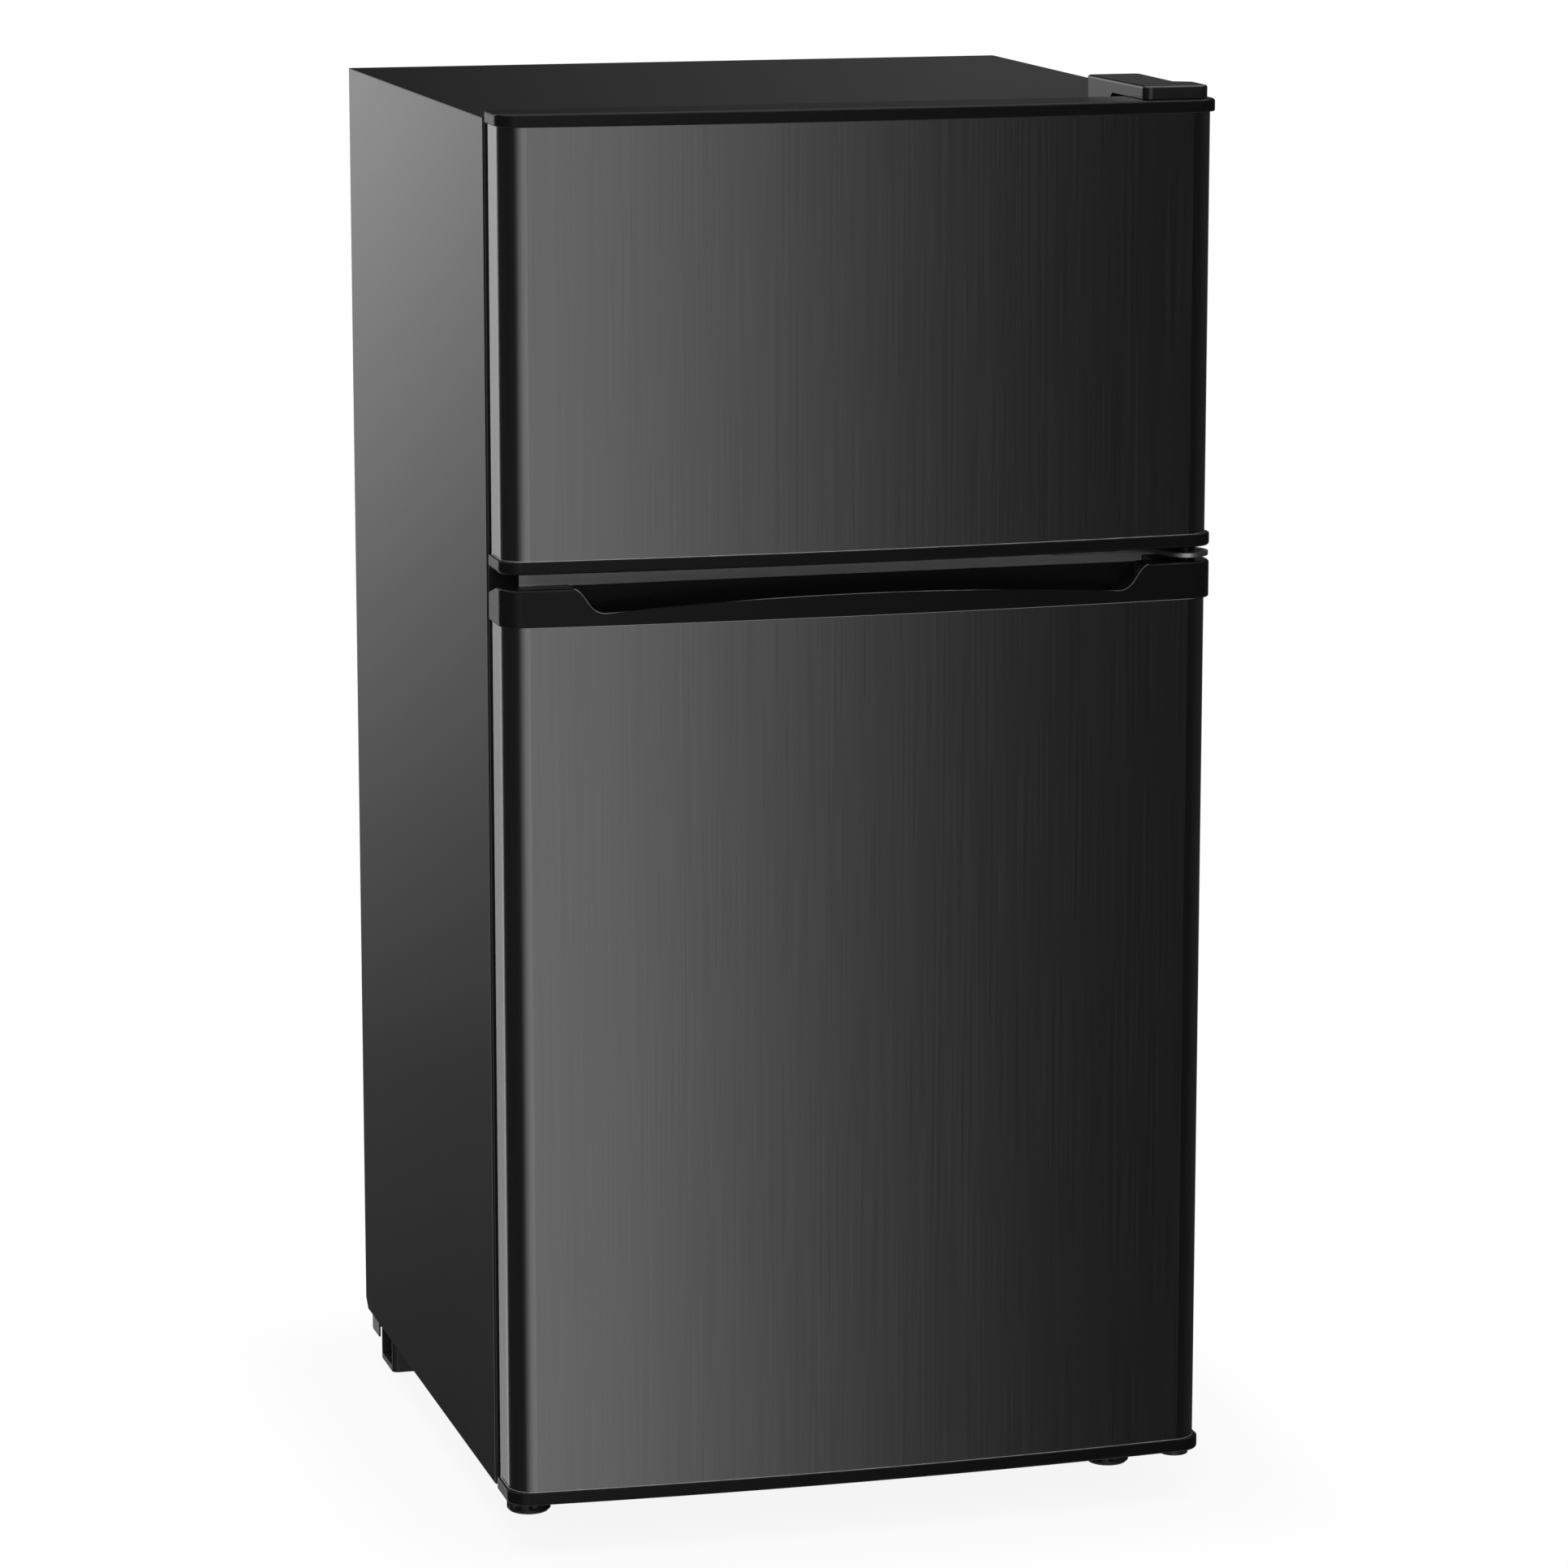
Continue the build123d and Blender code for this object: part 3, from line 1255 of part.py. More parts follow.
# Glass shelves with moulded front trims, and the glass cover of the crisper
def glass_shelf(z, end):
    with BuildPart() as glass:
        with BuildSketch(Plane.XY.offset(z)) as plan:
            with Locations((0, behind((SHELF_START + end) / 2))):
                Rectangle(2 * SHELF_HALF, end - SHELF_START)
            fillet(plan.vertices().group_by(Axis.Y)[-1], SHELF_CORNER)
        extrude(amount=GLASS)
    return glass.part


def shelf_trim(z):
    with BuildPart() as trim:
        with BuildSketch(sideways(-TRIM_HALF)):
            with Locations((behind(SHELF_START + (TRIM_DEPTH - TRIM) / 2), z + GLASS / 2)):
                Rectangle(TRIM_DEPTH + TRIM, GLASS + 2 * TRIM)
            with Locations((behind(SHELF_START + TRIM_DEPTH / 2), z + GLASS / 2)):
                Rectangle(TRIM_DEPTH, GLASS, mode=Mode.SUBTRACT)
        extrude(amount=2 * TRIM_HALF)
    return trim.part


TRIM_HALF = ROOM_HALF - LEDGE - 2
save(glass_shelf(UPPER_SHELF_Z, SHELF_END), "upper_glass_shelf")
save(glass_shelf(LOWER_SHELF_Z, SHELF_END), "lower_glass_shelf")
save(glass_shelf(HUMP_TOP, BAY_START), "crisper_cover")
with BuildPart() as shelf_trims:
    for shelf_z in (UPPER_SHELF_Z, LOWER_SHELF_Z, HUMP_TOP):
        add(shelf_trim(shelf_z))
save(shelf_trims.part, "shelf_trims")

# Crisper drawer: an open tub with a finger notch in its front
DRAWER_LENGTH = DRAWER_END - DRAWER_START
DRAWER_MIDDLE = (0, behind((DRAWER_START + DRAWER_END) / 2))
NOTCH_WIDTH = 110.0
NOTCH_HEIGHT = 26.0
NOTCH_CORNER = 12.0
with BuildPart() as crisper_drawer:
    add(
        open_tub(
            DRAWER_MIDDLE,
            2 * DRAWER_HALF,
            DRAWER_LENGTH,
            DRAWER_LOW,
            DRAWER_HIGH,
            DRAWER_CORNER,
            DRAWER_ROUND,
            DRAWER_WALL,
        )
    )
    with BuildSketch(upright(DRAWER_START + 2 * DRAWER_WALL)):
        with Locations((0, DRAWER_HIGH)):
            RectangleRounded(NOTCH_WIDTH, NOTCH_HEIGHT, NOTCH_CORNER)
    extrude(amount=3 * DRAWER_WALL, mode=Mode.SUBTRACT)
save(crisper_drawer.part, "crisper_drawer")


# Door skins: a bowed sheet with rounded corners, straight sides and narrow lips round the back
def door_skin(low, high):
    with BuildPart() as skin:
        with BuildSketch(Plane.XY.offset(low)):
            add(door_outline(SKIN_HALF, SKIN_FRONT, DOOR_BACK, SKIN_CORNER))
            add(
                door_outline(SKIN_HALF - SHEET, SKIN_FRONT - SHEET, DOOR_BACK + SHEET, SKIN_CORNER - SHEET),
                mode=Mode.SUBTRACT,
            )
            with Locations((0, FACE - DOOR_BACK)):
                Rectangle(2 * (SKIN_HALF - SKIN_LIP), 4 * SHEET, mode=Mode.SUBTRACT)
        extrude(amount=high - low)
    return skin.part


def door_foam(low, high):
    with BuildPart() as foam:
        with BuildSketch(Plane.XY.offset(low)):
            add(plug_outline())
        extrude(amount=high - low)
    return foam.part


def door_cap(joint, end, plug):
    """Moulded end cap: a proud rim from the skin to the end, a plug in the skin and a bush hole."""
    up = 1 if end > joint else -1
    with BuildPart() as cap:
        with BuildSketch(Plane.XY.offset(joint)):
            add(door_outline(CAP_HALF, DOOR_FRONT, DOOR_BACK, CAP_CORNER))
        extrude(amount=end - joint)
        free_face, joint_face = cap.faces().filter_by(Axis.Z).sort_by(Axis.Z, reverse=up > 0)
        fillet(free_face.edges(), CAP_EDGE)
        fillet(joint_face.edges(), CAP_JOINT_EDGE)
        with BuildSketch(Plane.XY.offset(joint)):
            add(plug_outline())
        extrude(amount=-up * plug)
        with BuildSketch(Plane.XY.offset(end)):
            with Locations((HINGE_X, HINGE_Y)):
                Circle(BUSH_R)
        extrude(amount=-up * BUSH_DEPTH, mode=Mode.SUBTRACT)
    return cap.part


def door_bush(end, up, flange):
    """Hinge bush in a cap, with a flange that keeps the door off the bracket."""
    with BuildPart() as bush:
        with BuildSketch(Plane.XY.offset(end)):
            with Locations((HINGE_X, HINGE_Y)):
                Circle(BUSH_R)
        extrude(amount=-up * BUSH_DEPTH)
        with BuildSketch(Plane.XY.offset(end)):
            with Locations((HINGE_X, HINGE_Y)):
                Circle(BUSH_FLANGE_R)
        extrude(amount=up * flange)
        with BuildSketch(Plane.XY.offset(end + up * flange)):
            with Locations((HINGE_X, HINGE_Y)):
                Circle(BORE_R)
        extrude(amount=-up * (BUSH_DEPTH + flange), mode=Mode.SUBTRACT)
    return bush.part


def door_liner(low, high, dyke_low, dyke_high, dyke, bin_floors):
    """Moulded inner door: a flange, a raised dyke round the recess and seats for the bins."""
    with BuildPart() as liner:
        with BuildSketch(upright(dyke)):
            with Locations((0, (dyke_low + dyke_high) / 2)):
                RectangleRounded(2 * DYKE_HALF, dyke_high - dyke_low, DYKE_CORNER)
                RectangleRounded(
                    2 * (DYKE_HALF - DYKE_WIDTH),
                    dyke_high - dyke_low - 2 * DYKE_WIDTH,
                    BIN_CORNER,
                    mode=Mode.SUBTRACT,
                )
        extrude(amount=dyke + DOOR_BACK)
        fillet(liner.faces().sort_by(Axis.Y)[-1].edges(), DYKE_EDGE)
        with BuildSketch(upright(LINER - DOOR_BACK)):
            with Locations((0, (low + high) / 2)):
                RectangleRounded(2 * LINER_FLANGE_HALF, high - low, LINER_FLANGE_CORNER)
        extrude(amount=LINER)
        seat_depth = DOOR_BACK - LINER + dyke - 2 * DYKE_EDGE
        for floor in bin_floors:
            with BuildSketch(upright(dyke - 2 * DYKE_EDGE)):
                with Locations((0, floor - BIN_SEAT / 2)):
                    with GridLocations(2 * (DYKE_HALF - DYKE_WIDTH), 0, 2, 1):
                        Rectangle(2 * BIN_SEAT, BIN_SEAT)
            extrude(amount=seat_depth)
    return liner.part


def door_gasket(low, high):
    """Magnetic seal: a base, a narrow bellows and a head, all round the door."""
    with BuildPart() as gasket:
        for start, end, inset in GASKET_LAYERS:
            with BuildSketch(upright(-end)):
                with Locations((0, (low + high) / 2)):
                    RectangleRounded(2 * (GASKET_HALF - inset), high - low - 2 * inset, GASKET_CORNER - inset)
                    RectangleRounded(
                        2 * (GASKET_HALF - GASKET_WIDTH + inset),
                        high - low - 2 * (GASKET_WIDTH - inset),
                        GASKET_WAIST,
                        mode=Mode.SUBTRACT,
                    )
            extrude(amount=start - end)
    return gasket.part


def door_bin(floor, height, reach):
    """Open-topped bin between the dykes, from the recess to its reach behind the front face."""
    depth = DOOR_BACK - LINER + reach
    middle = (0, behind(reach - depth / 2))
    return open_tub(middle, 2 * BIN_HALF, depth, floor, floor + height, BIN_CORNER, BIN_ROUND, BIN_WALL)


# Freezer door
FREEZER_BIN = (668.0, 55.0, 50.0)
FREEZER_LINER_LOW = FREEZER_BOTTOM + 3.0
FREEZER_LINER_HIGH = FREEZER_TOP - 4.0
save(door_skin(FREEZER_SKIN_BOTTOM, FREEZER_SKIN_TOP), "freezer_door_skin")
save(door_cap(FREEZER_SKIN_TOP, FREEZER_TOP, CAP_PLUG), "freezer_door_top_cap")
save(door_cap(FREEZER_SKIN_BOTTOM, FREEZER_BOTTOM, CAP_PLUG), "freezer_door_bottom_cap")
save(door_foam(FREEZER_SKIN_BOTTOM + CAP_PLUG, FREEZER_SKIN_TOP - CAP_PLUG), "freezer_door_foam")
save(
    door_liner(
        FREEZER_LINER_LOW,
        FREEZER_LINER_HIGH,
        FREEZER_FLOOR + DYKE_MARGIN,
        FREEZER_CEILING - DYKE_MARGIN,
        FREEZER_DYKE,
        [FREEZER_BIN[0]],
    ),
    "freezer_door_liner",
)
save(
    door_gasket(FREEZER_LINER_LOW + GASKET_MARGIN, FREEZER_LINER_HIGH - GASKET_TOP_MARGIN),
    "freezer_door_gasket",
)
save(door_bin(*FREEZER_BIN), "freezer_door_bin")
with BuildPart() as freezer_door_bushes:
    add(door_bush(FREEZER_TOP, 1, TOP_ARM_Z - FREEZER_TOP - RUN_GAP))
    add(door_bush(FREEZER_BOTTOM, -1, FREEZER_BOTTOM - MIDDLE_PLATE_Z - PLATE - RUN_GAP))
save(freezer_door_bushes.part, "freezer_door_bushes")

# Fridge door: its top cap carries the finger scoop
with BuildPart() as fridge_door_handle_cap:
    add(door_cap(FRIDGE_SKIN_TOP, FRIDGE_TOP, HANDLE_PLUG))
    with BuildSketch(upright(-SCOOP_WALL)):
        with BuildLine():
            Bezier(
                (-SCOOP_END, SCOOP_START_Z),
                (-SCOOP_END + SCOOP_EASE, SCOOP_START_Z),
                (-SCOOP_FOOT - SCOOP_EASE, SCOOP_FOOT_Z),
                (-SCOOP_FOOT, SCOOP_FOOT_Z),
            )
            ThreePointArc(
                (-SCOOP_FOOT, SCOOP_FOOT_Z),
                (0, SCOOP_CREST_Z),
                (SCOOP_FOOT, SCOOP_FOOT_Z),
            )
            Bezier(
                (SCOOP_FOOT, SCOOP_FOOT_Z),
                (SCOOP_FOOT + SCOOP_EASE, SCOOP_FOOT_Z),
                (SCOOP_END - SCOOP_EASE, SCOOP_START_Z),
                (SCOOP_END, SCOOP_START_Z),
            )
            Line((SCOOP_END, SCOOP_START_Z), (-SCOOP_END, SCOOP_START_Z))
        make_face()
    extrude(amount=DOOR_FRONT, mode=Mode.SUBTRACT)
    lip_front = DOOR_FRONT - SCOOP_LIP
    lip_end = FACE - lip_front + DOOR_BOW * (SCOOP_HALF / CAP_HALF) ** 2
    with BuildSketch(Plane.XY.offset(SCOOP_FLOOR)) as hollow_plan:
        with BuildLine():
            ThreePointArc((-SCOOP_HALF, lip_end), (0, FACE - lip_front), (SCOOP_HALF, lip_end))
            Polyline(
                (SCOOP_HALF, lip_end),
                (SCOOP_HALF, FACE - SCOOP_WALL),
                (-SCOOP_HALF, FACE - SCOOP_WALL),
                (-SCOOP_HALF, lip_end),
            )
        make_face()
        fillet(hollow_plan.vertices(), SCOOP_CORNER)
    extrude(amount=FRIDGE_TOP - SCOOP_FLOOR, mode=Mode.SUBTRACT)
    with BuildSketch(sideways(-CAP_HALF)):
        with BuildLine():
            Polyline(
                (FACE - REAR_SLOPE_START, FRIDGE_TOP),
                (FACE - DOOR_BACK, REAR_SLOPE_END_Z),
                (FACE - DOOR_BACK, FRIDGE_TOP),
                close=True,
            )
        make_face()
    extrude(amount=CAP_HALF + HINGE_BOSS_X, mode=Mode.SUBTRACT)
save(fridge_door_handle_cap.part, "fridge_door_handle_cap")

FRIDGE_UPPER_BIN = (405.0, 60.0, 62.0)
FRIDGE_LOWER_BIN = (242.0, 85.0, 66.0)
FRIDGE_LINER_LOW = FRIDGE_BOTTOM + 4.0
FRIDGE_LINER_HIGH = REAR_SLOPE_END_Z - 2.5
save(door_skin(FRIDGE_SKIN_BOTTOM, FRIDGE_SKIN_TOP), "fridge_door_skin")
save(door_cap(FRIDGE_SKIN_BOTTOM, FRIDGE_BOTTOM, CAP_PLUG), "fridge_door_bottom_cap")
save(door_foam(FRIDGE_SKIN_BOTTOM + CAP_PLUG, FRIDGE_SKIN_TOP - HANDLE_PLUG), "fridge_door_foam")
save(
    door_liner(
        FRIDGE_LINER_LOW,
        FRIDGE_LINER_HIGH,
        FRIDGE_FLOOR + DYKE_MARGIN,
        FRIDGE_CEILING - DYKE_MARGIN,
        FRIDGE_DYKE,
        [FRIDGE_UPPER_BIN[0], FRIDGE_LOWER_BIN[0]],
    ),
    "fridge_door_liner",
)
save(door_gasket(FRIDGE_LINER_LOW + GASKET_MARGIN, FRIDGE_LINER_HIGH - GASKET_MARGIN), "fridge_door_gasket")
save(door_bin(*FRIDGE_UPPER_BIN), "fridge_door_upper_bin")
save(door_bin(*FRIDGE_LOWER_BIN), "fridge_door_lower_bin")
with BuildPart() as fridge_door_bushes:
    add(door_bush(FRIDGE_TOP, 1, BUSH_FLANGE))
    add(door_bush(FRIDGE_BOTTOM, -1, FRIDGE_BOTTOM - BOTTOM_PLATE_Z - PLATE - RUN_GAP))
save(fridge_door_bushes.part, "fridge_door_bushes")
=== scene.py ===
"""Looks of a two-door compact fridge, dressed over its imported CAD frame. Metres, doors facing -Y."""

import json
import math

import bmesh
import bpy
from bmesh.types import BMEdge, BMVert
from mathutils import Matrix, Vector


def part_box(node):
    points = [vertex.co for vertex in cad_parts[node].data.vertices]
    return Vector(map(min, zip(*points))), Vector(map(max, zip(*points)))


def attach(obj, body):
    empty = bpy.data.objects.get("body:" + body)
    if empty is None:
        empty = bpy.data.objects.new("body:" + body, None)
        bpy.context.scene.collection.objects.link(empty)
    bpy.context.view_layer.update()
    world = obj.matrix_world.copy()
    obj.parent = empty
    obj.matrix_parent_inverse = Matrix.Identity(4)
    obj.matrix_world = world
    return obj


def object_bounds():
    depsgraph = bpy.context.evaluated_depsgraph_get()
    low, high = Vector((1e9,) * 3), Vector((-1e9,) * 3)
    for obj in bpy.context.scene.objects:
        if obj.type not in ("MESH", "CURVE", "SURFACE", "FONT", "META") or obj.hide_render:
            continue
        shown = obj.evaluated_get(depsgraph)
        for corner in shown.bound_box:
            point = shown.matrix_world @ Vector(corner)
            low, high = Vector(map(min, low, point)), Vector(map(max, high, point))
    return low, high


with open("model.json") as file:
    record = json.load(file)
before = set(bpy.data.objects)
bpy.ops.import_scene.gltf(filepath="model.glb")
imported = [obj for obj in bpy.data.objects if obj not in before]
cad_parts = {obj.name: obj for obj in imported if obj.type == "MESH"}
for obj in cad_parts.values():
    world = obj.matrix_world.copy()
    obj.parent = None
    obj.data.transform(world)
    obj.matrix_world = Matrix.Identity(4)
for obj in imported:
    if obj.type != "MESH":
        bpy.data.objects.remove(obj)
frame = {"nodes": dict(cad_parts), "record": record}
cad_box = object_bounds()
nodes = frame["nodes"]
scene = bpy.context.scene


def add_object(name, data):
    """Object that holds the data, linked to the scene."""
    item = bpy.data.objects.new(name, data)
    scene.collection.objects.link(item)
    return item


# Camera, solved from the photograph's edges
CAMERA_PLACE = Vector((-0.9691, -3.6049, 1.1624))
CAMERA_YAW = math.radians(15.217)
CAMERA_PITCH = math.radians(11.134)
CAMERA_LENS = 135.945
CAMERA_SENSOR = 36.0
CAMERA_REACH = 50.0


def set_camera():
    data = bpy.data.cameras.new("camera")
    data.sensor_width = CAMERA_SENSOR
    data.lens = CAMERA_LENS
    data.clip_end = CAMERA_REACH
    camera = add_object("camera", data)
    level = math.cos(CAMERA_PITCH)
    ahead = Vector((math.sin(CAMERA_YAW) * level, math.cos(CAMERA_YAW) * level, -math.sin(CAMERA_PITCH)))
    right = Vector((math.cos(CAMERA_YAW), -math.sin(CAMERA_YAW), 0.0))
    up = right.cross(ahead)
    turn = Matrix((right, up, -ahead)).transposed()
    camera.matrix_world = Matrix.Translation(CAMERA_PLACE) @ turn.to_4x4()
    scene.camera = camera


set_camera()


class Wiring:
    """A node tree with short calls to add and join nodes."""

    def __init__(self, tree):
        self.tree = tree
        tree.nodes.clear()

    def add(self, kind, inputs=None, **settings):
        node = self.tree.nodes.new(kind)
        for key, value in settings.items():
            setattr(node, key, value)
        for socket, value in (inputs or {}).items():
            node.inputs[socket].default_value = value
        return node

    def join(self, source, target):
        self.tree.links.new(source, target)


# Finishes: every one has a noise grain that varies its colour and roughness, and most have a fine relief
GRAIN_SPAN = (0.3, 0.7)
GRAIN_DETAIL = 4.0
RELIEF_DEPTH = 0.0004
BRUSHED = (1, 1, 0.012)
DRAWN = (1, 1, 0.1)
EVEN = (1, 1, 1)
finishes = {}


def grey(level):
    return (level, level, level)


def grained(name, dark, light, rough, grain, stretch=EVEN, bump=0.0, **sockets):
    """Adds a finish whose colour and roughness run between two limits along a noise grain."""
    material = bpy.data.materials.new(name)
    material.use_nodes = True
    wiring = Wiring(material.node_tree)
    output = wiring.add("ShaderNodeOutputMaterial")
    shader = wiring.add(
        "ShaderNodeBsdfPrincipled",
        {socket.replace("_", " "): value for socket, value in sockets.items()},
    )
    wiring.join(shader.outputs["BSDF"], output.inputs["Surface"])
    place = wiring.add("ShaderNodeTexCoord")
    mapping = wiring.add("ShaderNodeMapping", {"Scale": stretch})
    wiring.join(place.outputs["Object"], mapping.inputs["Vector"])
    noise = wiring.add("ShaderNodeTexNoise", {"Scale": grain, "Detail": GRAIN_DETAIL})
    wiring.join(mapping.outputs["Vector"], noise.inputs["Vector"])
    ramp = wiring.add("ShaderNodeValToRGB")
    for point, position, colour in zip(ramp.color_ramp.elements, GRAIN_SPAN, (dark, light)):
        point.position = position
        point.color = (*colour, 1)
    wiring.join(noise.outputs["Fac"], ramp.inputs["Fac"])
    wiring.join(ramp.outputs["Color"], shader.inputs["Base Color"])
    spread = wiring.add(
        "ShaderNodeMapRange",
        {"From Min": GRAIN_SPAN[0], "From Max": GRAIN_SPAN[1], "To Min": rough[0], "To Max": rough[1]},
    )
    wiring.join(noise.outputs["Fac"], spread.inputs["Value"])
    wiring.join(spread.outputs["Result"], shader.inputs["Roughness"])
    if bump:
        relief = wiring.add("ShaderNodeBump", {"Strength": bump, "Distance": RELIEF_DEPTH})
        wiring.join(noise.outputs["Fac"], relief.inputs["Height"])
        wiring.join(relief.outputs["Normal"], shader.inputs["Normal"])
    finishes[name] = material


# Steel and paint
grained("door_steel", grey(0.185), grey(0.205), (0.22, 0.25), 700, BRUSHED, bump=0.02, Metallic=1.0)
grained("side_paint", grey(0.009), grey(0.011), (0.045, 0.065), 260, bump=0.02)
grained("top_paint", grey(0.006), grey(0.009), (0.15, 0.18), 900, bump=0.02, Specular_IOR_Level=0.15)
grained("back_steel", grey(0.05), grey(0.07), (0.4, 0.5), 400, bump=0.06)
# The rail's light-grey paint, raised close to white to make up for the shade in the gap between the doors:
# its own colour plus painted light
grained("rail_paint", grey(0.84), grey(0.9), (0.3, 0.36), 600, bump=0.05, Metallic=0.4)
grained("hinge_steel", grey(0.012), grey(0.018), (0.3, 0.4), 500, bump=0.05)
grained("tray_paint", grey(0.012), grey(0.018), (0.3, 0.4), 500, bump=0.05)
grained("compressor_paint", grey(0.008), grey(0.011), (0.14, 0.2), 240, bump=0.08)

# Bare metal
grained("plain_aluminium", grey(0.6), grey(0.7), (0.3, 0.42), 300, DRAWN, Metallic=1.0)
grained("galvanised", grey(0.38), grey(0.55), (0.34, 0.5), 120, Metallic=1.0)
grained("copper", (0.62, 0.28, 0.15), (0.72, 0.36, 0.2), (0.22, 0.34), 200, Metallic=1.0)
grained("bright_steel", grey(0.6), grey(0.7), (0.16, 0.24), 900, Metallic=1.0)

# Plastic, rubber, foam and glass
grained("cap_plastic", grey(0.004), grey(0.006), (0.22, 0.28), 1400, bump=0.06, Specular_IOR_Level=0.12)
grained("cover_plastic", grey(0.006), grey(0.008), (0.16, 0.22), 1400, bump=0.04)
grained("black_rubber", grey(0.012), grey(0.02), (0.6, 0.75), 800, bump=0.15)
grained("black_plastic", grey(0.008), grey(0.012), (0.42, 0.55), 1200, bump=0.2)
grained("foam", (0.8, 0.72, 0.45), (0.88, 0.82, 0.58), (0.85, 0.95), 300, bump=0.5)
grained("white_liner", grey(0.8), grey(0.84), (0.28, 0.34), 500, bump=0.06)
grained("white_plastic", grey(0.78), grey(0.82), (0.3, 0.38), 1000, bump=0.06)
grained("white_wire", grey(0.8), grey(0.84), (0.3, 0.4), 900, bump=0.05)
grained(
    "lamp_lens", (0.9, 0.88, 0.8), (0.95, 0.93, 0.86), (0.35, 0.45), 500, bump=0.2, Transmission_Weight=0.5
)
grained(
    "shelf_glass", (0.86, 0.95, 0.92), (0.9, 0.97, 0.95), (0.02, 0.05), 60, Transmission_Weight=1.0, IOR=1.5
)
grained(
    "clear_plastic",
    (0.9, 0.94, 0.96),
    (0.94, 0.97, 0.98),
    (0.08, 0.12),
    240,
    bump=0.04,
    Transmission_Weight=0.95,
    IOR=1.49,
)

# Nodes whose coat isn't named after their slot
COATS = {
    "left_side_panel": "side_paint",
    "right_side_panel": "side_paint",
    "top_panel": "top_paint",
    "top_hinge_cover": "cover_plastic",
    "compressor_tray": "tray_paint",
}
for part in frame["record"]["subparts"]:
    coat = COATS.get(part["node"], part["material_slot"])
    materials = nodes[part["node"]].data.materials
    materials.clear()
    materials.append(finishes[coat])


# Pieces beyond the CAD nodes
SMOOTH_ANGLE = math.radians(30)
UP = (0, 0, 1)


def new_piece(name, shape, body, slot):
    """Turns a finished bmesh into a piece that rides on a body and takes a slot's finish."""
    boundary = [edge for edge in shape.edges if edge.is_boundary]
    if boundary:
        bmesh.ops.holes_fill(shape, edges=boundary, sides=0)
    bmesh.ops.recalc_face_normals(shape, faces=shape.faces)
    for face in shape.faces:
        face.smooth = True
    mesh = bpy.data.meshes.new(name)
    shape.to_mesh(mesh)
    shape.free()
    mesh.set_sharp_from_angle(angle=SMOOTH_ANGLE)
    mesh.materials.append(finishes[slot])
    piece = add_object(name, mesh)
    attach(piece, body)


def only(kind, items):
    return [item for item in items if isinstance(item, kind)]


def edges_of(verts):
    return list(dict.fromkeys(edge for vert in verts for edge in vert.link_edges))


def facing(ahead):
    """Turn that points the Z axis ahead."""
    return Vector(ahead).to_track_quat("Z", "Y").to_matrix().to_4x4()


class Wire:
    """A round wire that is led along straight runs and bends from a starting ring."""

    def __init__(self, shape, radius, place, ahead, segments=8):
        self.shape = shape
        stand = Matrix.Translation(place) @ facing(ahead)
        ring = bmesh.ops.create_circle(shape, segments=segments, radius=radius, matrix=stand)["verts"]
        self.tip = ring + edges_of(ring)

    def run(self, step):
        grown = bmesh.ops.extrude_edge_only(self.shape, edges=only(BMEdge, self.tip))["geom"]
        verts = only(BMVert, grown)
        bmesh.ops.translate(self.shape, vec=step, verts=verts)
        self.tip = verts + [edge for edge in only(BMEdge, grown) if all(v in verts for v in edge.verts)]

    def bend(self, centre, axis, angle, steps):
        self.tip = bmesh.ops.spin(
            self.shape, geom=self.tip, cent=centre, axis=axis, angle=math.radians(angle), steps=steps
        )["geom_last"]


# Joint beads: thin metal wires along each door panel's joint with its cap, standing in for the highlight
# line on the cap's rim edge; each bead's finish is picked brighter or darker to set how bright its line
# shows, so these beads are a painted highlight
PANEL_CORNER = 0.016
PANEL_BOW = 0.0085
BEAD_R = 0.0003
BEAD_CORNER_STEPS = 12
BEAD_FRONT_STEPS = 24
# Finish per bead, chosen for the brightness of its painted highlight line rather than for what the panel's
# edge is made of
HIGHLIGHT_BEAD_SLOTS = {
    ("freezer_door", "top"): "hinge_steel",
    ("freezer_door", "bottom"): "galvanised",
    ("fridge_door", "top"): "bright_steel",
    ("fridge_door", "bottom"): "galvanised",
}


def bow_radius(half_width):
    return (half_width**2 + PANEL_BOW**2) / (2 * PANEL_BOW)


def painted_highlight_bead(door, end, slot):
    """Bead round the top or the bottom edge of a door's bowed panel, drawn as a painted highlight line."""
    low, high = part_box(f"{door}_skin")
    height = high.z if end == "top" else low.z
    bow_r = bow_radius(high.x)
    corner_x = high.x - PANEL_CORNER
    lean = math.asin(corner_x / (bow_r - PANEL_CORNER))
    corner_y = low.y + bow_r - (bow_r - PANEL_CORNER) * math.cos(lean)
    turn = 90 - math.degrees(lean)
    shape = bmesh.new()
    wire = Wire(shape, BEAD_R, (low.x, high.y, height), (0, -1, 0))
    wire.run((0, corner_y - high.y, 0))
    wire.bend((-corner_x, corner_y, height), UP, turn, BEAD_CORNER_STEPS)
    wire.bend((0, low.y + bow_r, height), UP, 2 * math.degrees(lean), BEAD_FRONT_STEPS)
    wire.bend((corner_x, corner_y, height), UP, turn, BEAD_CORNER_STEPS)
    wire.run((0, high.y - corner_y, 0))
    new_piece(f"{door}_{end}_bead", shape, door, slot)


for (door, end), slot in HIGHLIGHT_BEAD_SLOTS.items():
    painted_highlight_bead(door, end, slot)


# Scoop rim: a thin metal line along the edge where the finger scoop opens through the front of the handle
# cap, a painted highlight standing in for the shine on that edge
CAP_LOW, CAP_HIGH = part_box("fridge_door_handle_cap")
RIM_R = 0.00016
RIM_ROUND = 2
RIM_STEPS = 24
RIM_MERGE = 1e-6
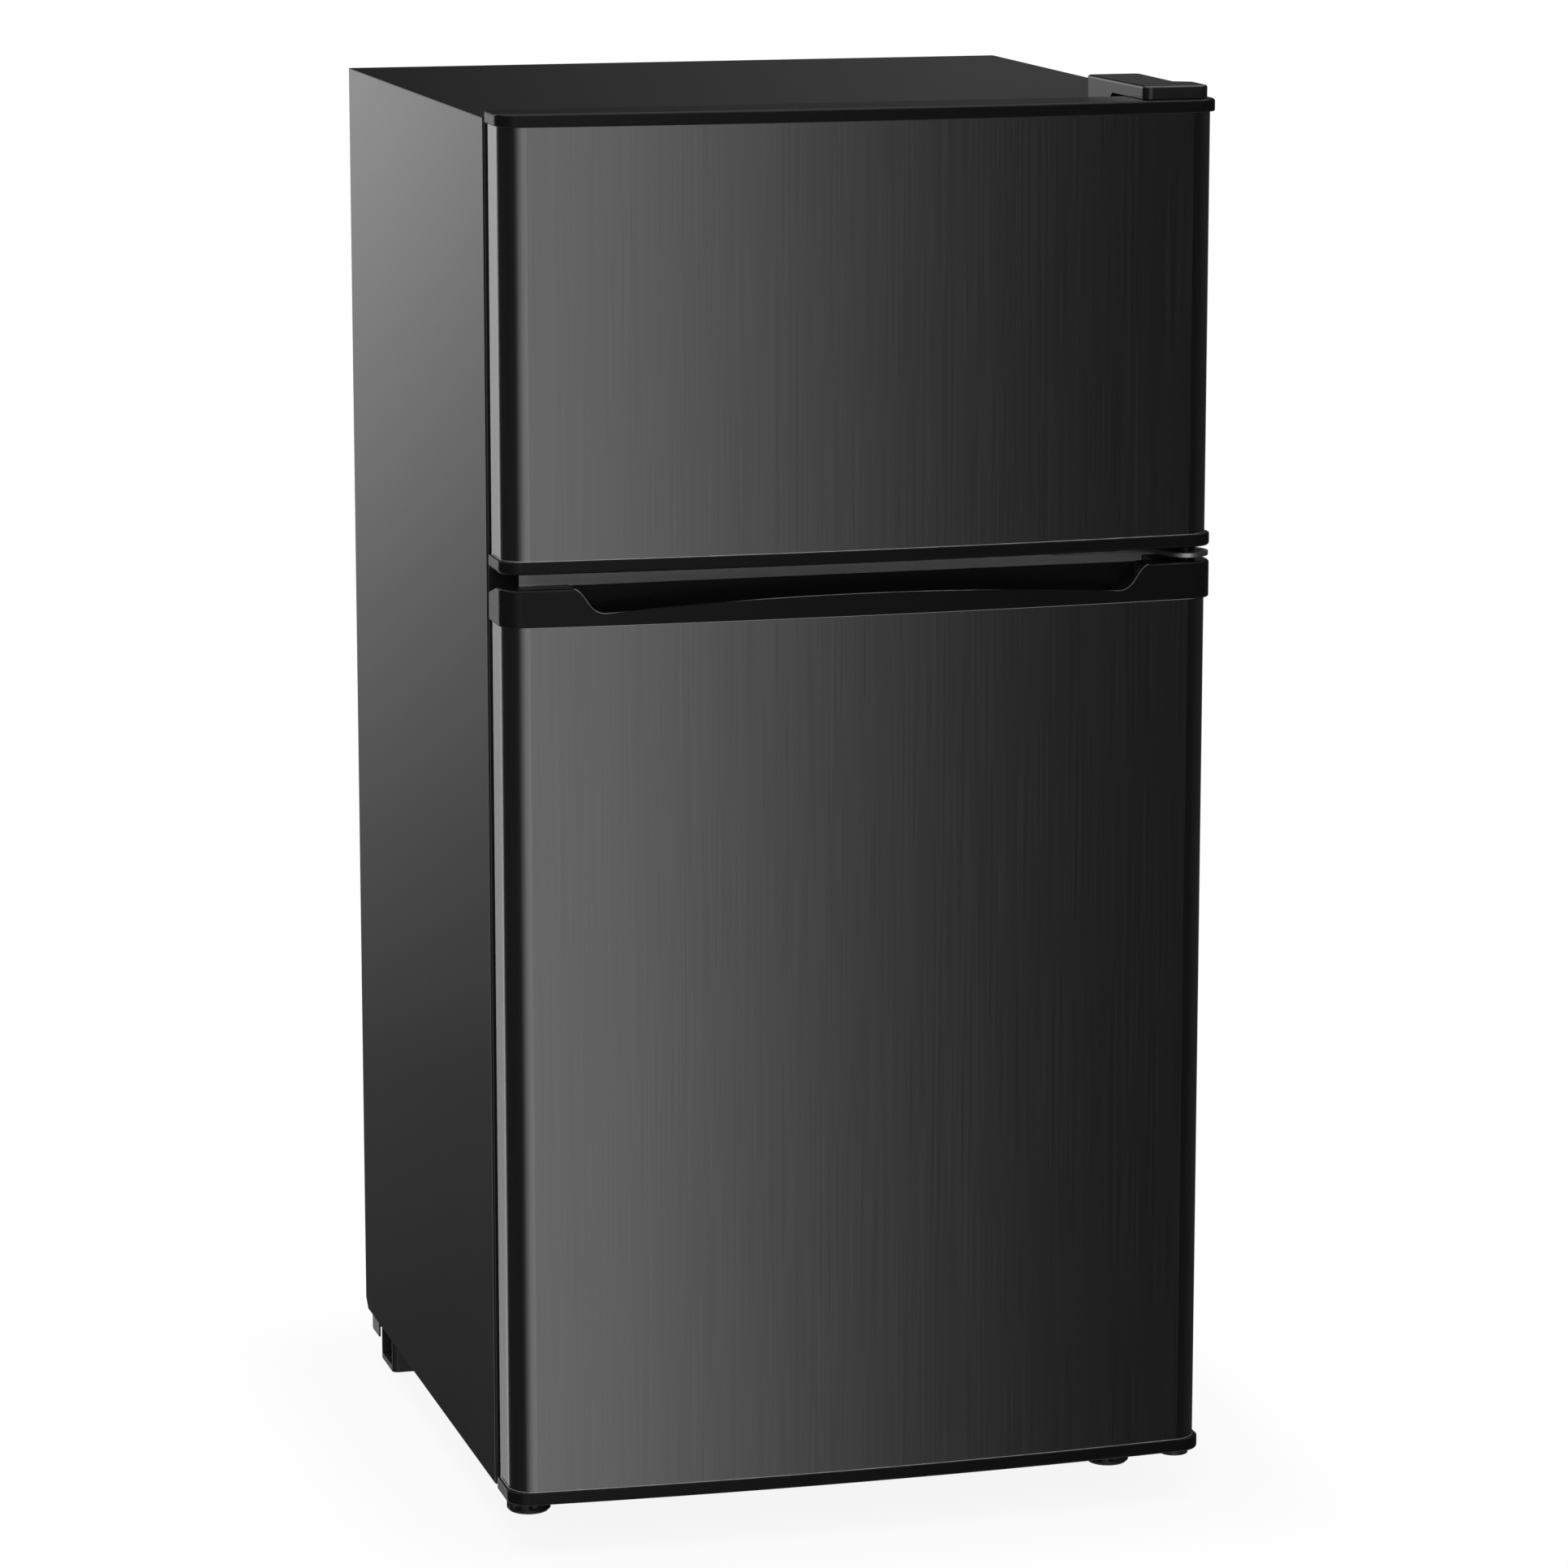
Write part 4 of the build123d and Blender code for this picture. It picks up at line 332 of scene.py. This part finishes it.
# Each point: its x and z, the reach of its left and right handles, the rise of the inner one, and its
# girth; the girth is larger at the left, so that the painted highlight shows brighter there
RIM_POINTS = [
    (-0.184, 0.599, 0.0, 0.013, 0.0, 1.9),
    (-0.16, 0.5826, 0.013, 0.05, 0.0028, 1.3),
    (0.0, 0.5887, 0.07, 0.07, 0.0, 1.0),
    (0.16, 0.5826, 0.05, 0.013, 0.0028, 1.0),
    (0.184, 0.599, 0.013, 0.0, 0.0, 1.0),
]


def on_cap_front(x, z):
    """Place on the bowed front of the handle cap, sunk by the rim's radius."""
    bow_r = bow_radius(CAP_HIGH.x)
    return Vector((x, CAP_LOW.y + RIM_R + bow_r - math.sqrt(bow_r**2 - x**2), z))


def scoop_highlight_rim():
    curve = bpy.data.curves.new("scoop_highlight_line", "CURVE")
    curve.dimensions = "3D"
    curve.bevel_depth = RIM_R
    curve.bevel_resolution = RIM_ROUND
    curve.resolution_u = RIM_STEPS
    curve.use_fill_caps = True
    line = curve.splines.new("BEZIER")
    line.bezier_points.add(len(RIM_POINTS) - 1)
    for point, (x, z, before, after, rise, girth) in zip(line.bezier_points, RIM_POINTS):
        point.co = on_cap_front(x, z)
        point.radius = girth
        point.handle_left = on_cap_front(x - before, z + (rise if x > 0 else 0.0))
        point.handle_right = on_cap_front(x + after, z + (rise if x < 0 else 0.0))
    rough = add_object("scoop_highlight_line", curve)
    mesh = bpy.data.meshes.new_from_object(rough)
    bpy.data.objects.remove(rough)
    shape = bmesh.new()
    shape.from_mesh(mesh)
    bpy.data.meshes.remove(mesh)
    bmesh.ops.remove_doubles(shape, verts=shape.verts, dist=RIM_MERGE)
    everything = shape.verts[:] + shape.edges[:] + shape.faces[:]
    bmesh.ops.bisect_plane(shape, geom=everything, plane_co=CAP_HIGH, plane_no=UP, clear_outer=True)
    new_piece("scoop_highlight_rim", shape, "fridge_door", "galvanised")


scoop_highlight_rim()


# Rail ridges: the rolled lines along the rail between the doors, as (height, radius)
RAIL_RIDGES = {"rail_upper_ridge": (0.6052, 0.0006), "rail_lower_ridge": (0.6008, 0.0004)}
RIDGE_LEFT_GAP = 0.002
RIDGE_RIGHT_GAP = 0.09


def rail_ridge(name, height, radius):
    low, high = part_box("mullion_rail")
    shape = bmesh.new()
    wire = Wire(shape, radius, (low.x + RIDGE_LEFT_GAP, low.y, height), (1, 0, 0))
    wire.run((high.x - low.x - RIDGE_LEFT_GAP - RIDGE_RIGHT_GAP, 0, 0))
    new_piece(name, shape, "cabinet", "rail_paint")


for name, (height, radius) in RAIL_RIDGES.items():
    rail_ridge(name, height, radius)


# Tray screws: pan heads with a cross recess along the rear lip of the compressor tray
TRAY_LOW, TRAY_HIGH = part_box("compressor_tray")
TRAY_SCREWS = {"left": -0.186, "inner_left": -0.04, "inner_right": 0.07, "right": 0.186}
TRAY_SCREW_RISE = 0.008
SCREW_R = 0.0028
SCREW_SUNK = 0.0002
SCREW_RINGS = ((0.92, -0.1), (1.0, -0.3), (1.0, -0.55))
RECESS_CELLS = 5
RECESS_HALF = 0.62 * SCREW_R
RECESS_DEPTH = 0.35 * SCREW_R


def screw_head(name, body, place, ahead):
    """Head of a screw that faces along ahead and stands on a place."""
    shape = bmesh.new()
    cell = 2 * RECESS_HALF / RECESS_CELLS
    bmesh.ops.create_grid(shape, x_segments=RECESS_CELLS, y_segments=RECESS_CELLS, size=RECESS_HALF)
    loop = [edge for edge in shape.edges if edge.is_boundary]
    cross = []
    for face in shape.faces:
        near, far = sorted(abs(side) / cell for side in face.calc_center_median()[:2])
        if near < 0.5 and far < 1.5:
            cross.append(face)
    sunk = bmesh.ops.extrude_face_region(shape, geom=cross)["geom"]
    bmesh.ops.translate(shape, vec=(0, 0, -RECESS_DEPTH), verts=only(BMVert, sunk))
    for share, drop in SCREW_RINGS:
        ring = bmesh.ops.create_circle(
            shape,
            segments=4 * RECESS_CELLS,
            radius=share * SCREW_R,
            matrix=Matrix.Translation((0, 0, drop * SCREW_R)),
        )["verts"]
        next_loop = edges_of(ring)
        bmesh.ops.bridge_loops(shape, edges=loop + next_loop)
        loop = next_loop
    rise = -SCREW_RINGS[-1][1] * SCREW_R - SCREW_SUNK
    stand = Matrix.Translation(Vector(place) + Vector(ahead) * rise)
    bmesh.ops.transform(shape, matrix=stand @ facing(ahead), verts=shape.verts)
    new_piece(name, shape, body, "bright_steel")


for side, x in TRAY_SCREWS.items():
    screw_head(f"tray_screw_{side}", "cabinet", (x, TRAY_HIGH.y, TRAY_LOW.z + TRAY_SCREW_RISE), (0, 1, 0))


# Tray seals: rubber cords that close the slit between the tray and each side panel
SHEET = 0.0008
SEAL_RISE = 0.0005
SEAL_SEGMENTS = 12


def tray_seal(name, side):
    low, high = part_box("right_side_panel")
    wall = high.x - SHEET
    radius = (wall - TRAY_HIGH.x) / 2
    start = (side * (wall - radius), TRAY_LOW.y, low.z + SEAL_RISE)
    shape = bmesh.new()
    wire = Wire(shape, radius, start, (0, 1, 0), SEAL_SEGMENTS)
    wire.run((0, TRAY_HIGH.y - TRAY_LOW.y, 0))
    new_piece(name, shape, "cabinet", "black_rubber")


tray_seal("tray_seal_left", -1)
tray_seal("tray_seal_right", 1)


# Dial marks: short raised ticks round the skirt of the thermostat knob, and the index mark they turn past
KNOB_LOW, KNOB_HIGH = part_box("thermostat_knob")
KNOB_R = (KNOB_HIGH.x - KNOB_LOW.x) / 2
SKIRT = 0.0043
DIAL_TICKS = 8
DIAL_SWEEP = math.radians(270)
TICK = (0.0006, 0.0004, 0.002)
TICK_BEVEL = 0.0001
TICK_MARGIN = 0.0006
TICK_REACH = TICK_MARGIN + TICK[2] / 2
TICK_ANGLES = [-DIAL_SWEEP * number / (DIAL_TICKS - 1) for number in range(DIAL_TICKS)]


def dial_marks(name, body, proud, reach, angles):
    """Bevelled bars round the knob's axis, on a face that stands proud of the housing."""
    centre = (KNOB_LOW + KNOB_HIGH) / 2
    centre.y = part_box("thermostat_housing")[0].y - proud
    size = Matrix.Diagonal((*TICK, 1))
    shape = bmesh.new()
    for angle in angles:
        turn = Matrix.Translation(centre) @ Matrix.Rotation(angle, 4, "Y")
        place = turn @ Matrix.Translation((0, 0, reach))
        tick = bmesh.ops.create_cube(shape, size=1.0, matrix=place @ size)["verts"]
        bmesh.ops.bevel(
            shape,
            geom=edges_of(tick),
            offset=TICK_BEVEL,
            affect="EDGES",
            segments=2,
            profile=0.5,
            material=-1,
        )
    new_piece(name, shape, body, "black_plastic")


dial_marks("dial_ticks", "thermostat_knob", SKIRT, KNOB_R - TICK_REACH, TICK_ANGLES)
dial_marks("dial_index", "cabinet", 0.0, KNOB_R + TICK_REACH, [0.0])


# Studio, as gloss sees it: (degrees round from the doors towards the right, level, share of the rear sweep)
STUDIO_ROUND = [
    (-180, 0.0, 0.3),
    (-175, 0.0, 1),
    (-169, 0.0, 1),
    (-166.5, 0.0, 0.66),
    (-164.5, 1.5, 0),
    (-154, 1.5, 0),
    (-149, 0.04, 0),
    (-46, 0.04, 0),
    (-18, 0.7, 0),
    (-6, 0.88, 0),
    (2, 0.98, 0),
    (5, 0.79, 0),
    (7.5, 0.61, 0),
    (9.8, 0.46, 0),
    (12, 0.33, 0),
    (14.3, 0.22, 0),
    (16.6, 0.13, 0),
    (18.9, 0.075, 0),
    (21.2, 0.04, 0),
    (23.5, 0.025, 0),
    (26, 0.02, 0),
    (40, 0.02, 0),
    (60, 0.03, 0),
    (90, 0.05, 0),
    (140, 0.05, 0),
    (150, 0.0, 1),
    (163, 0.0, 1),
    (169, 0.0, 0.3),
    (180, 0.0, 0.3),
]
# The rear sweep, as (height of the ray, level, 1)
STUDIO_SWEEP = [
    (-0.32, 0.03, 1),
    (-0.28, 0.05, 1),
    (-0.24, 0.09, 1),
    (-0.2, 0.2, 1),
    (-0.164, 0.34, 1),
    (-0.118, 0.57, 1),
    (-0.08, 0.8, 1),
    (-0.05, 0.9, 1),
    (0.0, 0.4, 1),
    (0.03, 0.08, 1),
    (0.3, 0.06, 1),
]
# The floor and the ceiling that close the studio, as (height of the ray, level, share)
STUDIO_FLOOR = 0.35
STUDIO_CEILING = 2.0
STUDIO_STEEP = [
    (-1.0, STUDIO_FLOOR, 1),
    (-0.7, STUDIO_FLOOR, 1),
    (-0.55, STUDIO_FLOOR, 0),
    (0.6, STUDIO_CEILING, 0),
    (0.8, STUDIO_CEILING, 1),
    (1.0, STUDIO_CEILING, 1),
]
# The ramps hold levels as shares of this power
STUDIO_POWER = 2.0
EVEN_LIGHT = 0.5
WHITE = (1, 1, 1, 1)


def set_world():
    world = bpy.data.worlds.new("studio")
    scene.world = world
    world.use_nodes = True
    wiring = Wiring(world.node_tree)
    output = wiring.add("ShaderNodeOutputWorld")
    path = wiring.add("ShaderNodeLightPath")
    place = wiring.add("ShaderNodeTexCoord")
    axes = wiring.add("ShaderNodeSeparateXYZ")
    wiring.join(place.outputs["Generated"], axes.inputs["Vector"])

    def ramp(source, low, high, stops):
        scale = wiring.add("ShaderNodeMapRange", {"From Min": low, "From Max": high})
        wiring.join(source, scale.inputs["Value"])
        node = wiring.add("ShaderNodeValToRGB")
        points = node.color_ramp.elements
        while len(points) < len(stops):
            points.new(0.5)
        for point, (position, level, share) in zip(points, stops):
            point.position = (position - low) / (high - low)
            point.color = (*grey(level / STUDIO_POWER), share)
        wiring.join(scale.outputs["Result"], node.inputs["Fac"])
        return node

    def mix(factor, first, second):
        node = wiring.add("ShaderNodeMix", data_type="RGBA")
        wiring.join(factor, node.inputs["Factor"])
        wiring.join(first, node.inputs["A"])
        wiring.join(second, node.inputs["B"])
        return node.outputs["Result"]

    def blend(factor, first, second):
        node = wiring.add("ShaderNodeMixShader")
        wiring.join(factor, node.inputs["Fac"])
        wiring.join(first, node.inputs[1])
        wiring.join(second, node.inputs[2])
        return node.outputs["Shader"]

    forward = wiring.add("ShaderNodeMath", {1: -1.0}, operation="MULTIPLY")
    wiring.join(axes.outputs["Y"], forward.inputs[0])
    turn = wiring.add("ShaderNodeMath", operation="ARCTAN2")
    wiring.join(axes.outputs["X"], turn.inputs[0])
    wiring.join(forward.outputs["Value"], turn.inputs[1])
    degrees = wiring.add("ShaderNodeMath", operation="DEGREES")
    wiring.join(turn.outputs["Value"], degrees.inputs[0])
    walls = ramp(degrees.outputs["Value"], -180, 180, STUDIO_ROUND)
    sweep = ramp(axes.outputs["Z"], -0.4, 0.4, STUDIO_SWEEP)
    steep = ramp(axes.outputs["Z"], -1, 1, STUDIO_STEEP)
    studio = mix(walls.outputs["Alpha"], walls.outputs["Color"], sweep.outputs["Color"])
    studio = mix(steep.outputs["Alpha"], studio, steep.outputs["Color"])

    # Camera rays and rays through glass see plain white, gloss sees the studio, the rest is even light
    seen = wiring.add("ShaderNodeMath", operation="MAXIMUM")
    wiring.join(path.outputs["Is Camera Ray"], seen.inputs[0])
    wiring.join(path.outputs["Is Transmission Ray"], seen.inputs[1])
    even = wiring.add("ShaderNodeBackground", {"Color": WHITE, "Strength": EVEN_LIGHT})
    gloss = wiring.add("ShaderNodeBackground", {"Strength": STUDIO_POWER})
    wiring.join(studio, gloss.inputs["Color"])
    white = wiring.add("ShaderNodeBackground", {"Color": WHITE})
    light = blend(path.outputs["Is Glossy Ray"], even.outputs["Background"], gloss.outputs["Background"])
    light = blend(seen.outputs["Value"], light, white.outputs["Background"])
    wiring.join(light, output.inputs["Surface"])


# The floor shows a faint shadow close to the fridge and plain white beyond it
FLOOR_RADIUS = 9.0
FLOOR_SEGMENTS = 96
FLOOR_DROP = 0.0002
FLOOR_COLOUR = (0.93, 0.93, 0.93, 1)
FLOOR_WHITE = 0.9
FLOOR_FADE = 0.16


def set_floor():
    mesh = bpy.data.meshes.new("floor")
    shape = bmesh.new()
    bmesh.ops.create_circle(shape, cap_ends=True, segments=FLOOR_SEGMENTS, radius=FLOOR_RADIUS)
    shape.to_mesh(mesh)
    shape.free()
    floor = add_object("floor", mesh)
    floor.location.z = -FLOOR_DROP
    material = bpy.data.materials.new("floor_white")
    material.use_nodes = True
    wiring = Wiring(material.node_tree)
    output = wiring.add("ShaderNodeOutputMaterial")
    matt = wiring.add("ShaderNodeBsdfDiffuse", {"Color": FLOOR_COLOUR})
    white = wiring.add("ShaderNodeEmission")
    place = wiring.add("ShaderNodeTexCoord")
    unsigned = wiring.add("ShaderNodeVectorMath", operation="ABSOLUTE")
    wiring.join(place.outputs["Object"], unsigned.inputs[0])
    corner = (cad_box[1].x, cad_box[1].y, 0.0)
    beyond = wiring.add("ShaderNodeVectorMath", {1: corner}, operation="SUBTRACT")
    wiring.join(unsigned.outputs["Vector"], beyond.inputs[0])
    outside = wiring.add("ShaderNodeVectorMath", operation="MAXIMUM")
    wiring.join(beyond.outputs["Vector"], outside.inputs[0])
    distance = wiring.add("ShaderNodeVectorMath", operation="LENGTH")
    wiring.join(outside.outputs["Vector"], distance.inputs[0])
    fade = wiring.add(
        "ShaderNodeMapRange",
        {"From Max": FLOOR_FADE, "To Min": FLOOR_WHITE},
        interpolation_type="SMOOTHSTEP",
    )
    wiring.join(distance.outputs["Value"], fade.inputs["Value"])
    path = wiring.add("ShaderNodeLightPath")
    seen = wiring.add("ShaderNodeMath", operation="MULTIPLY")
    wiring.join(fade.outputs["Result"], seen.inputs[0])
    wiring.join(path.outputs["Is Camera Ray"], seen.inputs[1])
    blend = wiring.add("ShaderNodeMixShader")
    wiring.join(seen.outputs["Value"], blend.inputs["Fac"])
    wiring.join(matt.outputs["BSDF"], blend.inputs[1])
    wiring.join(white.outputs["Emission"], blend.inputs[2])
    wiring.join(blend.outputs["Shader"], output.inputs["Surface"])
    mesh.materials.append(material)
    floor.visible_glossy = False


# Lamps, as (place, target, side, power)
LAMPS = {
    "lamp_above": ((-0.6, -0.6, 3.2), (0, 0, 0.4), 2.4, 44),
    "lamp_front": ((-1.4, -3.4, 2.0), (0, 0, 0.5), 1.8, 34),
}


def set_lamp(name, place, target, side, power):
    data = bpy.data.lights.new(name, "AREA")
    data.shape = "SQUARE"
    data.size = side
    data.energy = power
    lamp = add_object(name, data)
    lamp.location = place
    lamp.rotation_euler = (Vector(target) - Vector(place)).to_track_quat("-Z", "Y").to_euler()
    lamp.visible_glossy = False


set_world()
set_floor()
for name, lamp in LAMPS.items():
    set_lamp(name, *lamp)

scene.view_settings.view_transform = "Standard"
